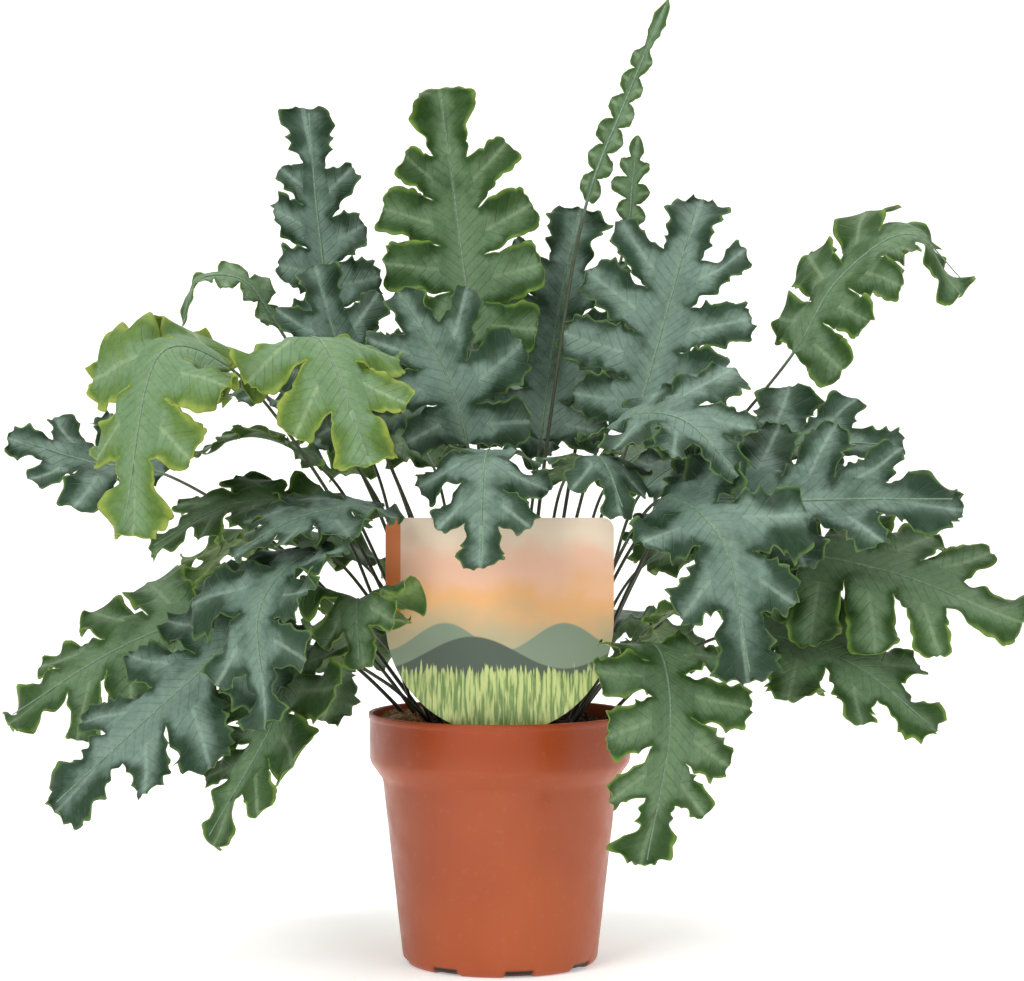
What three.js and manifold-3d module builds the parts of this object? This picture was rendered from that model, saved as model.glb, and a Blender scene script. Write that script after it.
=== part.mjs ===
// A blue-green fern with wavy, cut fronds in a plastic nursery pot, with its soil, rootstock and plant label.
// Millimetres, +Z up. The origin is the centre of the pot's underside, and the label faces -Y.
import * as THREE from "three";
import { mergeVertices } from "three/addons/utils/BufferGeometryUtils.js";
import Module from "manifold-3d";

const wasm = await Module();
wasm.setup();

// Pot
const POT_HEIGHT = 114;
const POT_TOP_RADIUS = 60;
const COLLAR_HEIGHT = 30;
const COLLAR_CHAMFER = 8;
const COLLAR_TAPER = 0.6;
const WALL_TOP_RADIUS = 53.6;
const WALL_BASE_RADIUS = 44.2;
const POT_FOOT_RADIUS = 41;
const FOOT_ROUND = 4;
const POT_WALL = 1.4;
const POT_FLOOR = 2;
const LIP = 0.7;
const POT_SIDES = 28;
const DRAIN_SLOTS = 8;
const DRAIN_SLOT = { width: 13, depth: 9, height: 8 };

// Soil
const CLEAR = 0.3;
const SOIL_EDGE = 107;
const SOIL_MOUND = 4;
const SOIL_LUMP = { height: 1.4, turnsX: 0.31, turnsY: 0.27, offset: 1 };
const SOIL_GRAIN = 0.2;
const SOIL_SIDES = POT_SIDES / 2;
const SOIL_RINGS = [0.82, 0.5];
const HOLE_RADIUS = 2.4;
const HOLE_SIDES = 4;
const STIPE_FOOT = 97;
const HOLE_LENGTH = 24;
const HOLE_BELOW_FOOT = 1;

// Rootstock
const ROOTSTOCK_POINTS = [
  [-6, 49, 105],
  [-32, 37, 107],
  [-48, 12, 108],
  [-48, -12, 109],
  [-36, -31, 113],
];
const ROOTSTOCK_RADIUS = 5;
const ROOTSTOCK_SIDES = 8;
const ROOTSTOCK_STEPS = 10;
const ROOTSTOCK_SWELL = { share: 0.14, each: 2.4 };
const ROOTSTOCK_END = { share: 0.35, grow: 1.6 };

// Label
const LABEL_THICKNESS = 0.8;
const LABEL_WIDTH = 100;
const LABEL_BOTTOM = 109;
const LABEL_TOP = 204;
const LABEL_Y = -50;
const LABEL_CORNER = 5;
const LABEL_SPIKE = { width: 13, length: 34, point: 10 };

// Fronds
const STIPE_RADIUS = 1.1;
const STIPE_ROWS = 3;
const BLADE_THICKNESS = 0.7;
const RIB_TIP_THICKNESS = 1;
const KNEE_SHARE = 0.5;
const KNEE_RISE = 0.1;
const TIP_LOBE_SHARE = 0.26;
const WEB_SHARE = 0.33;
const WEB_BETWEEN_LOBES = 0.85;
const WEB_OPENS = 0.2;
const LEAN_LOW = -10;
const LEAN_HIGH = 42;
const STAGGER = 0.14;
const LAST_STAGGER = 0.4;
const ROOM_SHARE = 0.49;
const LAST_ABOVE = 0.6;
const TIP_ROOM = { foot: 0.22, grow: 0.5, most: 0.6 };
const LENGTH_VARIES = 0.2;
const LIFT = 0.42;
const LIFT_DOWN = 0.62;
const EDGE_VARIES = 0.05;
const REACH_VARIES = 0.14;
const WAVE = 0.3;
const WAVE_STEP = 0.42;
const FULL_WAVE_LENGTH = 30;
const CURVE_STEPS = 40;

// A lobe's cut edge, from the web to its tip: how far along its own rib, how far along its edge,
// and how much of the room beside the rib it takes.
const POINTED = [
  { rib: 0.38, edge: 0.46, reach: 1 },
  { rib: 0.76, edge: 0.84, reach: 0.8 },
];
const ROUND = [
  { rib: 0.4, edge: 0.5, reach: 1 },
  { rib: 0.8, edge: 0.88, reach: 0.9 },
];
const SLIM = [{ rib: 0.5, edge: 0.5, reach: 0.8 }];
// The blade's half-width from its first lobes to its last, as shares of its widest.
const OUTLINE = [0.76, 1, 0.98, 0.84, 0.68];

// Each frond: reach of its root from the pot's axis, then compass angle, reach and height of its blade's
// base, middle and tip, and run, the compass angle that it faces along. w is its widest half-width and n its
// lobes a side. In degrees, cup is how far the lobes rise (+) or hang (-) at the rib, curl how much further
// they turn by their tips, and roll the blade's turn about its rib.
const FRONDS = [
  // Tall ones that stand behind the middle.
  { root: 14, at: [[155, 84, 282], [151, 98, 338], [148, 108, 398]], run: 115,
    w: 26, n: 4, cut: POINTED, cup: 8, curl: 10, roll: 0, tint: "blue" },
  { root: 8, at: [[126, 22, 282], [127, 33, 340], [145, 34, 400]], run: 100,
    w: 38, n: 4, cut: ROUND, cup: 12, curl: 16, roll: 0, tint: "green" },
  { root: 10, at: [[62, 40, 238], [64, 60, 292], [60, 76, 350]], run: 85,
    w: 42, n: 4, cut: POINTED, cup: 10, curl: 14, roll: 0, tint: "blue" },
  { root: 20, at: [[5, 60, 240], [13, 78, 294], [20, 99, 353]], run: 75,
    w: 44, n: 4, cut: POINTED, cup: 10, curl: 10, roll: 0, tint: "blue" },
  { root: 26, at: [[4, 135, 278], [2, 155, 312], [0, 186, 332], [358, 212, 308]],
    w: 36, n: 4, cut: ROUND, cup: -5, curl: -10, roll: 30, tint: "green" },
  // The right side.
  { root: 30, at: [[353, 90, 222], [351, 135, 236], [350, 182, 236]],
    w: 34, n: 3, cut: POINTED, cup: 6, curl: 10, roll: 45, tint: "blue" },
  { root: 18, at: [[335, 82, 207], [336, 147, 212], [339, 212, 213]],
    w: 42, n: 4, cut: POINTED, cup: 6, curl: -6, roll: 50, tint: "blue" },
  { root: 24, at: [[347, 119, 186], [346, 177, 180], [347, 234, 157]],
    w: 44, n: 4, cut: ROUND, cup: 0, curl: -20, roll: 45, tint: "green" },
  { root: 36, at: [[343, 110, 152], [341, 160, 142], [342, 200, 112]],
    w: 38, n: 3, cut: POINTED, cup: 0, curl: -10, roll: 35, tint: "green" },
  { root: 34, at: [[316, 92, 150], [308, 118, 124], [303, 114, 58]], run: 300,
    w: 36, n: 4, cut: POINTED, cup: 5, curl: 5, roll: 0, tint: "green" },
  { root: 24, at: [[319, 92, 212], [313, 137, 196], [313, 154, 138]],
    w: 38, n: 3, cut: POINTED, cup: 5, curl: 0, roll: 30, tint: "blue" },
  { root: 30, at: [[326, 84, 158], [323, 108, 172], [321, 134, 162]],
    w: 26, n: 3, cut: POINTED, cup: 0, curl: 0, roll: 15, tint: "green" },
  { root: 12, at: [[326, 60, 244], [322, 98, 248], [322, 130, 224]],
    w: 38, n: 3, cut: POINTED, cup: 5, curl: 0, roll: 25, tint: "blue" },
  // Over the label and before the middle.
  { root: 14, at: [[264, 38, 232], [264, 64, 228], [265, 92, 184]],
    w: 32, n: 3, cut: POINTED, cup: -5, curl: -10, roll: 0, tint: "blue" },
  { root: 20, at: [[303, 52, 220], [302, 81, 231], [300, 106, 208]],
    w: 26, n: 3, cut: POINTED, cup: -5, curl: -10, roll: 0, tint: "blue" },
  { root: 7, at: [[226, 21, 236], [218, 32, 270], [198, 48, 305]], run: 100,
    w: 38, n: 3, cut: POINTED, cup: 5, curl: 10, roll: 0, tint: "blue" },
  { root: 10, at: [[178, 56, 240], [176, 73, 278], [172, 86, 318]], run: 110,
    w: 34, n: 3, cut: POINTED, cup: 5, curl: 10, roll: 0, tint: "blue" },
  // The left side.
  { root: 22, at: [[197, 125, 270], [203, 158, 277], [210, 184, 200]],
    w: 42, n: 3, cut: ROUND, cup: -5, curl: -20, roll: -30, tint: "yellow" },
  { root: 13, at: [[202, 96, 270], [220, 102, 282], [240, 108, 228]], run: 280,
    w: 36, n: 3, cut: ROUND, cup: -5, curl: -20, roll: 0, tint: "yellow" },
  { root: 24, at: [[169, 160, 222], [171, 195, 228], [174, 230, 240]],
    w: 32, n: 3, cut: POINTED, cup: 5, curl: 5, roll: -40, tint: "blue" },
  { root: 18, at: [[168, 105, 290], [172, 120, 312], [176, 138, 312], [179, 146, 290]],
    w: 12, n: 4, cut: SLIM, cup: 0, curl: 0, roll: -30, tint: "green" },
  { root: 24, at: [[182, 80, 224], [180, 112, 240], [179, 148, 228]],
    w: 28, n: 3, cut: POINTED, cup: 5, curl: 5, roll: 0, tint: "green" },
  { root: 28, at: [[199, 99, 168], [204, 147, 134], [201, 207, 80]],
    w: 40, n: 4, cut: POINTED, cup: 0, curl: -15, roll: -35, tint: "blue" },
  { root: 28.5, at: [[176, 119, 160], [180, 168, 146], [183, 224, 112]],
    w: 44, n: 4, cut: ROUND, cup: 0, curl: -15, roll: -38, tint: "green" },
  { root: 26, at: [[222, 105, 190], [224, 140, 168], [231, 150, 118]],
    w: 38, n: 3, cut: POINTED, cup: 5, curl: 0, roll: 0, tint: "blue" },
  { root: 22, at: [[211, 99, 146], [219, 128, 112], [216, 154, 68]],
    w: 38, n: 4, cut: ROUND, cup: 0, curl: 0, roll: 0, tint: "green" },
  { root: 17, at: [[219, 66, 206], [217, 104, 206], [214, 138, 190]],
    w: 34, n: 3, cut: POINTED, cup: 0, curl: 0, roll: -10, tint: "blue" },
  { root: 33, at: [[222, 76, 156], [231, 97, 170], [238, 112, 144]],
    w: 30, n: 3, cut: ROUND, cup: 5, curl: 0, roll: 0, tint: "green" },
  // The long wiry one and a small young leaf.
  { root: 6, at: [[350, 40, 346], [355, 58, 394], [0, 77, 440]], run: 90,
    w: 7, n: 6, cut: SLIM, cup: 0, curl: 0, roll: 0, tint: "green" },
  { root: 20, at: [[48, 92, 342], [48, 94, 358], [46, 95, 384]], run: 90,
    w: 10, n: 3, cut: SLIM, cup: 0, curl: 0, roll: 0, tint: "green" },
  // The back.
  { root: 26, at: [[25, 75, 180], [25, 130, 192], [25, 185, 150]],
    w: 36, n: 3, cut: POINTED, cup: 0, curl: -10, roll: 0, tint: "green" },
  { root: 26, at: [[57, 75, 150], [57, 130, 150], [57, 180, 95]],
    w: 36, n: 3, cut: POINTED, cup: 0, curl: -10, roll: 0, tint: "blue" },
  { root: 26, at: [[90, 75, 180], [90, 130, 192], [90, 185, 140]],
    w: 36, n: 3, cut: POINTED, cup: 0, curl: -10, roll: 0, tint: "green" },
  { root: 26, at: [[121, 75, 150], [121, 130, 150], [121, 180, 95]],
    w: 36, n: 3, cut: POINTED, cup: 0, curl: -10, roll: 0, tint: "blue" },
  { root: 26, at: [[150, 75, 180], [150, 130, 196], [150, 185, 160]],
    w: 36, n: 3, cut: POINTED, cup: 0, curl: -10, roll: 0, tint: "green" },
  { root: 18, at: [[88, 60, 235], [88, 100, 270], [88, 150, 245]],
    w: 34, n: 3, cut: POINTED, cup: 0, curl: -10, roll: 0, tint: "blue" },
  { root: 18, at: [[122, 60, 225], [122, 100, 250], [122, 150, 225]],
    w: 34, n: 3, cut: POINTED, cup: 0, curl: -10, roll: 0, tint: "green" },
  // Shorter ones that fill the mass between the tall and the hanging ones.
  { root: 32, at: [[155, 70, 235], [155, 105, 262], [155, 145, 262]],
    w: 32, n: 3, cut: POINTED, cup: 5, curl: -5, roll: -20, tint: "blue" },
  { root: 34, at: [[18, 70, 215], [18, 105, 232], [18, 140, 225]],
    w: 26, n: 3, cut: POINTED, cup: 5, curl: -5, roll: 20, tint: "blue" },
  { root: 34, at: [[45, 70, 215], [45, 110, 235], [45, 150, 215]],
    w: 32, n: 3, cut: POINTED, cup: 5, curl: -5, roll: 0, tint: "green" },
  { root: 34, at: [[192, 80, 205], [192, 120, 210], [192, 160, 190]],
    w: 32, n: 3, cut: POINTED, cup: 5, curl: -5, roll: -20, tint: "green" },
];

const LEAF_TINTS = { blue: 0x4d6f66, green: 0x5c8a4b, yellow: 0x8aa650 };
const POT_LOOK = { color: 0xb5582f, roughness: 0.42, metalness: 0 };
const SOIL_LOOK = { color: 0x2b1b14, roughness: 0.95, metalness: 0 };
const ROOTSTOCK_LOOK = { color: 0xb8862f, roughness: 0.9, metalness: 0 };
const LABEL_LOOK = { color: 0xd8b48a, roughness: 0.35, metalness: 0 };
const LEAF_ROUGHNESS = 0.55;

const degrees = THREE.MathUtils.degToRad;

// A repeatable number from 0 to 1 for each pair of whole numbers.
function chance(a, b) {
  const x = Math.sin(a * 127.1 + b * 311.7 + 11.3) * 43758.5453;
  return x - Math.floor(x);
}

function polar(azimuth, reach, height) {
  return new THREE.Vector3(reach * Math.cos(degrees(azimuth)), reach * Math.sin(degrees(azimuth)), height);
}

// The closed solid of a geometry, and the geometry of a solid.
function toSolid(geometry) {
  const bare = geometry.clone().deleteAttribute("normal").deleteAttribute("uv");
  const merged = mergeVertices(bare, 1e-4);
  return new wasm.Manifold(
    new wasm.Mesh({
      numProp: 3,
      vertProperties: merged.attributes.position.array,
      triVerts: new Uint32Array(merged.index.array),
    }),
  );
}

function toGeometry(solid) {
  const mesh = solid.getMesh();
  return new THREE.BufferGeometry()
    .setAttribute("position", new THREE.BufferAttribute(mesh.vertProperties, mesh.numProp))
    .setIndex(new THREE.BufferAttribute(mesh.triVerts, 1));
}

// A solid of revolution: the profile of (radius, height) turned about Z.
function turned(profile, sides) {
  const points = profile.map(([r, z]) => new THREE.Vector2(r, z));
  return new THREE.LatheGeometry(points, sides).rotateX(Math.PI / 2);
}

// The radius of the pot's outer wall at a height below the collar.
function wallRadius(z) {
  return THREE.MathUtils.mapLinear(z, 0, POT_HEIGHT - COLLAR_HEIGHT, WALL_BASE_RADIUS, WALL_TOP_RADIUS);
}

// The pot: a thin cup with a wide collar, a rounded foot and drain slots round its lower edge.
function potSolid() {
  const collarLow = POT_HEIGHT - COLLAR_HEIGHT;
  const collarStraight = collarLow + COLLAR_CHAMFER;
  const profile = [
    [0, 0],
    [POT_FOOT_RADIUS, 0],
    [wallRadius(FOOT_ROUND), FOOT_ROUND],
    [wallRadius(collarLow), collarLow],
    [POT_TOP_RADIUS - COLLAR_TAPER, collarStraight],
    [POT_TOP_RADIUS - LIP, POT_HEIGHT - 4 * LIP],
    [POT_TOP_RADIUS, POT_HEIGHT - 3 * LIP],
    [POT_TOP_RADIUS, POT_HEIGHT - LIP],
    [POT_TOP_RADIUS - LIP, POT_HEIGHT],
    [POT_TOP_RADIUS - POT_WALL - LIP, POT_HEIGHT - LIP],
    [POT_TOP_RADIUS - COLLAR_TAPER - POT_WALL, collarStraight],
    [wallRadius(collarLow) - POT_WALL, collarLow],
    [wallRadius(FOOT_ROUND) - POT_WALL, FOOT_ROUND + POT_FLOOR],
    [POT_FOOT_RADIUS - POT_WALL, POT_FLOOR],
    [0, POT_FLOOR],
  ];
  let pot = toSolid(turned(profile, POT_SIDES));
  const slot = new THREE.BoxGeometry(DRAIN_SLOT.depth, DRAIN_SLOT.width, DRAIN_SLOT.height);
  slot.translate(WALL_BASE_RADIUS, 0, 0);
  for (let i = 0; i < DRAIN_SLOTS; i++) {
    const turn = ((i + 0.25) * 2 * Math.PI) / DRAIN_SLOTS;
    pot = pot.subtract(toSolid(slot.clone().rotateZ(turn)));
  }
  return pot;
}

// The height of the soil's lumpy, mounded top.
function soilHeight(x, y) {
  const share = Math.hypot(x, y) / POT_TOP_RADIUS;
  const { height, turnsX, turnsY, offset } = SOIL_LUMP;
  const lump = height * Math.sin(x * turnsX + offset) * Math.sin(y * turnsY);
  return SOIL_EDGE + SOIL_MOUND * (1 - share * share) + lump;
}

// The soil: fills the pot to just under its rim.
function soilBlank() {
  const gap = POT_WALL + CLEAR;
  const collarLow = POT_HEIGHT - COLLAR_HEIGHT;
  const rim = POT_TOP_RADIUS - COLLAR_TAPER - gap;
  const profile = [
    [0, POT_FLOOR + CLEAR],
    [POT_FOOT_RADIUS - gap, POT_FLOOR + CLEAR],
    [wallRadius(FOOT_ROUND) - gap, FOOT_ROUND + POT_FLOOR + CLEAR],
    [wallRadius(collarLow) - gap, collarLow + CLEAR],
    [rim, collarLow + COLLAR_CHAMFER + CLEAR],
    [rim, SOIL_EDGE - 1],
    ...SOIL_RINGS.map((share) => [rim * share, SOIL_EDGE]),
    [0, SOIL_EDGE],
  ];
  const geometry = turned(profile, SOIL_SIDES);
  const at = geometry.attributes.position;
  for (let i = 0; i < at.count; i++)
    if (at.getZ(i) > SOIL_EDGE - 0.5) at.setZ(i, soilHeight(at.getX(i), at.getY(i)));
  return toSolid(geometry);
}

// A tube along a curve, with its radius swelling and narrowing along its length.
function knobblyTube(points, radius, sides, steps, grow) {
  const curve = new THREE.CatmullRomCurve3(points.map((p) => new THREE.Vector3(...p)));
  const rings = [];
  for (let i = 0; i <= steps; i++) {
    const share = i / steps;
    const along = curve.getTangentAt(share);
    const side = new THREE.Vector3(0, 0, 1).cross(along).normalize();
    const up = along.clone().cross(side);
    const { share: least, grow: opening } = ROOTSTOCK_END;
    const taper = Math.min(1, opening * Math.sqrt(share * (1 - share)) + least);
    const swell = 1 + ROOTSTOCK_SWELL.share * Math.sin(i * ROOTSTOCK_SWELL.each);
    const r = radius * swell * taper + grow;
    const ring = [];
    for (let j = 0; j < sides; j++) {
      const turn = (j * 2 * Math.PI) / sides;
      ring.push(
        curve
          .getPointAt(share)
          .addScaledVector(along, grow * (i === 0 ? -1 : i === steps ? 1 : 0))
          .addScaledVector(side, r * Math.cos(turn))
          .addScaledVector(up, r * Math.sin(turn)),
      );
    }
    rings.push(ring);
  }
  const triangles = [];
  for (let i = 0; i < steps; i++)
    for (let j = 0; j < sides; j++) {
      const k = (j + 1) % sides;
      triangles.push([rings[i][j], rings[i][k], rings[i + 1][k]]);
      triangles.push([rings[i][j], rings[i + 1][k], rings[i + 1][j]]);
    }
  for (let j = 1; j < sides - 1; j++) {
    triangles.push([rings[0][0], rings[0][j + 1], rings[0][j]]);
    triangles.push([rings[steps][0], rings[steps][j], rings[steps][j + 1]]);
  }
  return toSolid(new THREE.BufferGeometry().setFromPoints(triangles.flat()));
}

function rootstockSolid(grow) {
  return knobblyTube(ROOTSTOCK_POINTS, ROOTSTOCK_RADIUS, ROOTSTOCK_SIDES, ROOTSTOCK_STEPS, grow);
}

// The label's outline: straight sides and top, a round lower half, and a spike that goes into the soil.
function labelSolid(grow) {
  const half = LABEL_WIDTH / 2;
  const centre = LABEL_BOTTOM + half;
  const neck = Math.asin(LABEL_SPIKE.width / 2 / half);
  const shape = new THREE.Shape();
  shape.moveTo(half, centre);
  shape.lineTo(half, LABEL_TOP - LABEL_CORNER);
  shape.lineTo(half - LABEL_CORNER, LABEL_TOP);
  shape.lineTo(LABEL_CORNER - half, LABEL_TOP);
  shape.lineTo(-half, LABEL_TOP - LABEL_CORNER);
  shape.lineTo(-half, centre);
  shape.absarc(0, centre, half, Math.PI, 1.5 * Math.PI - neck, false);
  shape.lineTo(-LABEL_SPIKE.width / 2, LABEL_BOTTOM - LABEL_SPIKE.length + LABEL_SPIKE.point);
  shape.lineTo(0, LABEL_BOTTOM - LABEL_SPIKE.length);
  shape.lineTo(LABEL_SPIKE.width / 2, LABEL_BOTTOM - LABEL_SPIKE.length + LABEL_SPIKE.point);
  shape.absarc(0, centre, half, 1.5 * Math.PI + neck, 2 * Math.PI, false);
  const thick = LABEL_THICKNESS + 2 * grow;
  const geometry = new THREE.ExtrudeGeometry(shape, { depth: thick, bevelEnabled: false, curveSegments: 8 });
  if (grow > 0) geometry.scale(1 + (2 * grow) / LABEL_SPIKE.width, 1, 1).translate(0, -grow, 0);
  return toSolid(geometry.rotateX(Math.PI / 2).translate(0, LABEL_Y + thick / 2, 0));
}

// A frond's rib: the curve from its root through its knee, blade base, middle and tip, with the directions
// along it, across the blade and out of the blade's upper face at every distance from the root.
class Rib {
  constructor({ root, at, run, roll }) {
    const places = at.map((p) => polar(...p));
    const start = polar(at[0][0], root, STIPE_FOOT);
    const knee = start.clone().lerp(places[0], KNEE_SHARE);
    knee.z += KNEE_RISE * start.distanceTo(places[0]);
    const points = [start, knee, ...places];
    this.curve = new THREE.CatmullRomCurve3(points, false, "centripetal");
    this.curve.arcLengthDivisions = CURVE_STEPS * (points.length - 1);
    const lengths = this.curve.getLengths();
    this.length = lengths[lengths.length - 1];
    this.bladeStart = lengths[2 * CURVE_STEPS];
    const heading = degrees(run ?? at[1][0]);
    this.across = new THREE.Vector3(-Math.sin(heading), Math.cos(heading), 0);
    this.roll = degrees(roll);
  }
  frame(s) {
    const share = Math.min(Math.max(s / this.length, 0), 1);
    const along = this.curve.getTangentAt(share);
    const point = this.curve.getPointAt(share).addScaledVector(along, s - share * this.length);
    const side = this.across.clone().addScaledVector(along, -along.dot(this.across)).normalize();
    side.applyAxisAngle(along, this.roll);
    return { point, side, up: along.clone().cross(side) };
  }
}

// A frond cut flat: points (s along the rib, w across, z above) with half their thickness, and triangles.
class FlatFrond {
  points = [];
  faces = [];
  point(s, w, z, half) {
    return this.points.push({ s, w, z, half }) - 1;
  }
  face(a, b, c) {
    const [p, q, r] = [this.points[a], this.points[b], this.points[c]];
    const area = (q.s - p.s) * (r.w - p.w) - (q.w - p.w) * (r.s - p.s);
    this.faces.push(area > 0 ? [a, b, c] : [a, c, b]);
  }
  strip(one, other) {
    for (let i = 0; i + 1 < one.length; i++) {
      this.face(one[i], other[i], other[i + 1]);
      this.face(one[i], other[i + 1], one[i + 1]);
    }
  }
}

// One lobe, on a base row of three points: rows out along its own rib to its tip. It leans towards the
// frond's tip by an angle, and room gives half the width that is free beside its rib at each distance out.
function addLobe(flat, base, { lean, length, room, above = 1, cut, seed, side }) {
  const [low, origin, high] = base.map((i) => flat.points[i]);
  const along = Math.sin(lean);
  const out = Math.cos(lean);
  const lift = (chance(seed, 1) - LIFT_DOWN) * LIFT;
  const wave = WAVE * Math.min(1, length / FULL_WAVE_LENGTH);
  const put = (u, v, rise) => {
    const s = origin.s + u * along + v * out;
    const w = origin.w + side * (u * out - v * along);
    return flat.point(s, w, lift * u + rise, BLADE_THICKNESS / 2);
  };
  const foot = ({ s, w }) => (s - origin.s) * along + side * (w - origin.w) * out;
  let row = base;
  cut.forEach(({ rib, edge, reach }, i) => {
    const [lower, upper] = [low, high].map((corner, j) => {
      const vary = [chance(seed, 10 + 2 * i + j), chance(seed, 20 + 2 * i + j)];
      const u = THREE.MathUtils.lerp(foot(corner), length, edge + EDGE_VARIES * (vary[0] - 0.5));
      const v = (j ? above : -1) * reach * room(Math.max(u, 0)) * (1 - REACH_VARIES * vary[1]);
      const turn = 2 * Math.PI * (WAVE_STEP * i + chance(seed, 2 + j));
      return put(u, v, wave * Math.abs(v) * Math.sin(turn));
    });
    const next = [lower, put(rib * length, 0, 0), upper];
    flat.strip(row, next);
    row = next;
  });
  const tip = put(length, 0, 0);
  flat.face(row[0], row[1], tip);
  flat.face(row[1], row[2], tip);
}

function outlineShare(share) {
  const x = share * (OUTLINE.length - 1);
  const i = Math.min(Math.floor(x), OUTLINE.length - 2);
  return THREE.MathUtils.lerp(OUTLINE[i], OUTLINE[i + 1], x - i);
}

// A whole frond cut flat: its stipe, the web along its rib, its lobes in pairs and the lobe at its tip.
function flatFrond({ w: width, n, cut }, rib, seed) {
  const flat = new FlatFrond();
  const ribHalf = (s) => THREE.MathUtils.lerp(STIPE_RADIUS, RIB_TIP_THICKNESS / 2, s / rib.length);
  const row = (s, half, shift, thin) => [
    flat.point(s - shift, -half, 0, thin),
    flat.point(s, 0, 0, ribHalf(s)),
    flat.point(s + shift, half, 0, thin),
  ];
  let last = row(0, STIPE_RADIUS, 0, STIPE_RADIUS / 2);
  for (let i = 1; i <= STIPE_ROWS; i++) {
    const next = row((rib.bladeStart * i) / STIPE_ROWS, STIPE_RADIUS, 0, STIPE_RADIUS / 2);
    flat.strip(last, next);
    last = next;
  }
  const blade = rib.length - rib.bladeStart;
  const pitch = (blade * (1 - TIP_LOBE_SHARE)) / n;
  const fan = degrees(LEAN_HIGH - LEAN_LOW) / Math.max(n - 1, 1);
  const lobes = [];
  for (let i = 0; i < n; i++) {
    const start = rib.bladeStart + i * pitch;
    const share = n > 1 ? i / (n - 1) : 0.5;
    const webShare = THREE.MathUtils.lerp(WEB_OPENS, 1 - WEB_OPENS, (i + 0.5) / n);
    const web = WEB_SHARE * width * Math.sin(Math.PI * webShare);
    const shift = (i + 1 < n ? 1 : LAST_STAGGER) * STAGGER * pitch;
    const middle = row(start + pitch / 2, web, shift, BLADE_THICKNESS / 2);
    const end = row(start + pitch, web * WEB_BETWEEN_LOBES, shift, BLADE_THICKNESS / 2);
    flat.strip(last, middle);
    flat.strip(middle, end);
    const lean = degrees(THREE.MathUtils.lerp(LEAN_LOW, LEAN_HIGH, share)) * Math.min(1, width / pitch);
    for (const side of [-1, 1]) {
      const k = side < 0 ? 0 : 2;
      const lobeSeed = seed * 40 + i * 2 + side;
      const vary = 1 + LENGTH_VARIES * (chance(lobeSeed, 5) - 0.5);
      lobes.push({
        base: [last[k], middle[k], end[k]],
        lean,
        length: (outlineShare(share) * width * vary - web) / Math.cos(lean),
        room: (u) => ROOM_SHARE * (pitch * Math.cos(lean) + u * fan),
        above: i + 1 < n ? 1 : LAST_ABOVE,
        cut,
        seed: lobeSeed,
        side,
      });
    }
    last = end;
  }
  for (const lobe of lobes) addLobe(flat, lobe.base, lobe);
  addLobe(flat, last, {
    lean: Math.PI / 2,
    length: blade * TIP_LOBE_SHARE,
    room: (u) => Math.min(TIP_ROOM.foot * pitch + TIP_ROOM.grow * u, TIP_ROOM.most * width),
    cut,
    seed: seed * 40 + 39,
    side: -1,
  });
  return flat;
}

// The flat frond bent along its rib, its lobes turned up or down, and given its thickness.
function frondGeometry(row, seed) {
  const rib = new Rib(row);
  const flat = flatFrond(row, rib, seed);
  const cup = degrees(row.cup);
  const bend = degrees(row.curl) / row.w;
  const places = flat.points.map(({ s, w, z }) => {
    const { point, side, up } = rib.frame(s);
    const half = (bend * Math.abs(w)) / 2;
    const chord = w * (half ? Math.sin(half) / half : 1);
    const turn = cup + 2 * half;
    return point
      .addScaledVector(side, chord * Math.cos(cup + half) - Math.sign(w) * z * Math.sin(turn))
      .addScaledVector(up, Math.abs(chord) * Math.sin(cup + half) + z * Math.cos(turn));
  });
  const normals = places.map(() => new THREE.Vector3());
  for (const [a, b, c] of flat.faces) {
    const out = places[b].clone().sub(places[a]).cross(places[c].clone().sub(places[a]));
    for (const i of [a, b, c]) normals[i].add(out);
  }
  const corners = [];
  for (const hand of [1, -1])
    places.forEach((p, i) => {
      corners.push(p.clone().addScaledVector(normals[i].normalize(), hand * flat.points[i].half));
    });
  const under = places.length;
  const index = flat.faces.flatMap(([a, b, c]) => [a, b, c, a + under, c + under, b + under]);
  const edges = new Set(flat.faces.flatMap(([a, b, c]) => [`${a},${b}`, `${b},${c}`, `${c},${a}`]));
  for (const edge of edges) {
    const [a, b] = edge.split(",").map(Number);
    if (!edges.has(`${b},${a}`)) index.push(b, a, a + under, b, a + under, b + under);
  }
  return new THREE.BufferGeometry().setFromPoints(corners).setIndex(index);
}

// The plain hole in the soil that a frond's stipe stands in.
function stipeHole(row) {
  const { point, side, up } = new Rib(row).frame(0);
  const along = side.clone().cross(up);
  const hole = new THREE.CylinderGeometry(HOLE_RADIUS, HOLE_RADIUS, HOLE_LENGTH, HOLE_SIDES);
  hole.rotateX(Math.PI / 2);
  const turn = new THREE.Matrix4().makeBasis(side, up, along);
  const middle = point.addScaledVector(along, HOLE_LENGTH / 2 - HOLE_BELOW_FOOT);
  return toSolid(hole.applyMatrix4(turn.setPosition(middle)));
}

function named(name, geometry, look) {
  const mesh = new THREE.Mesh(geometry, new THREE.MeshStandardMaterial(look));
  mesh.name = name;
  return mesh;
}

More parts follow.
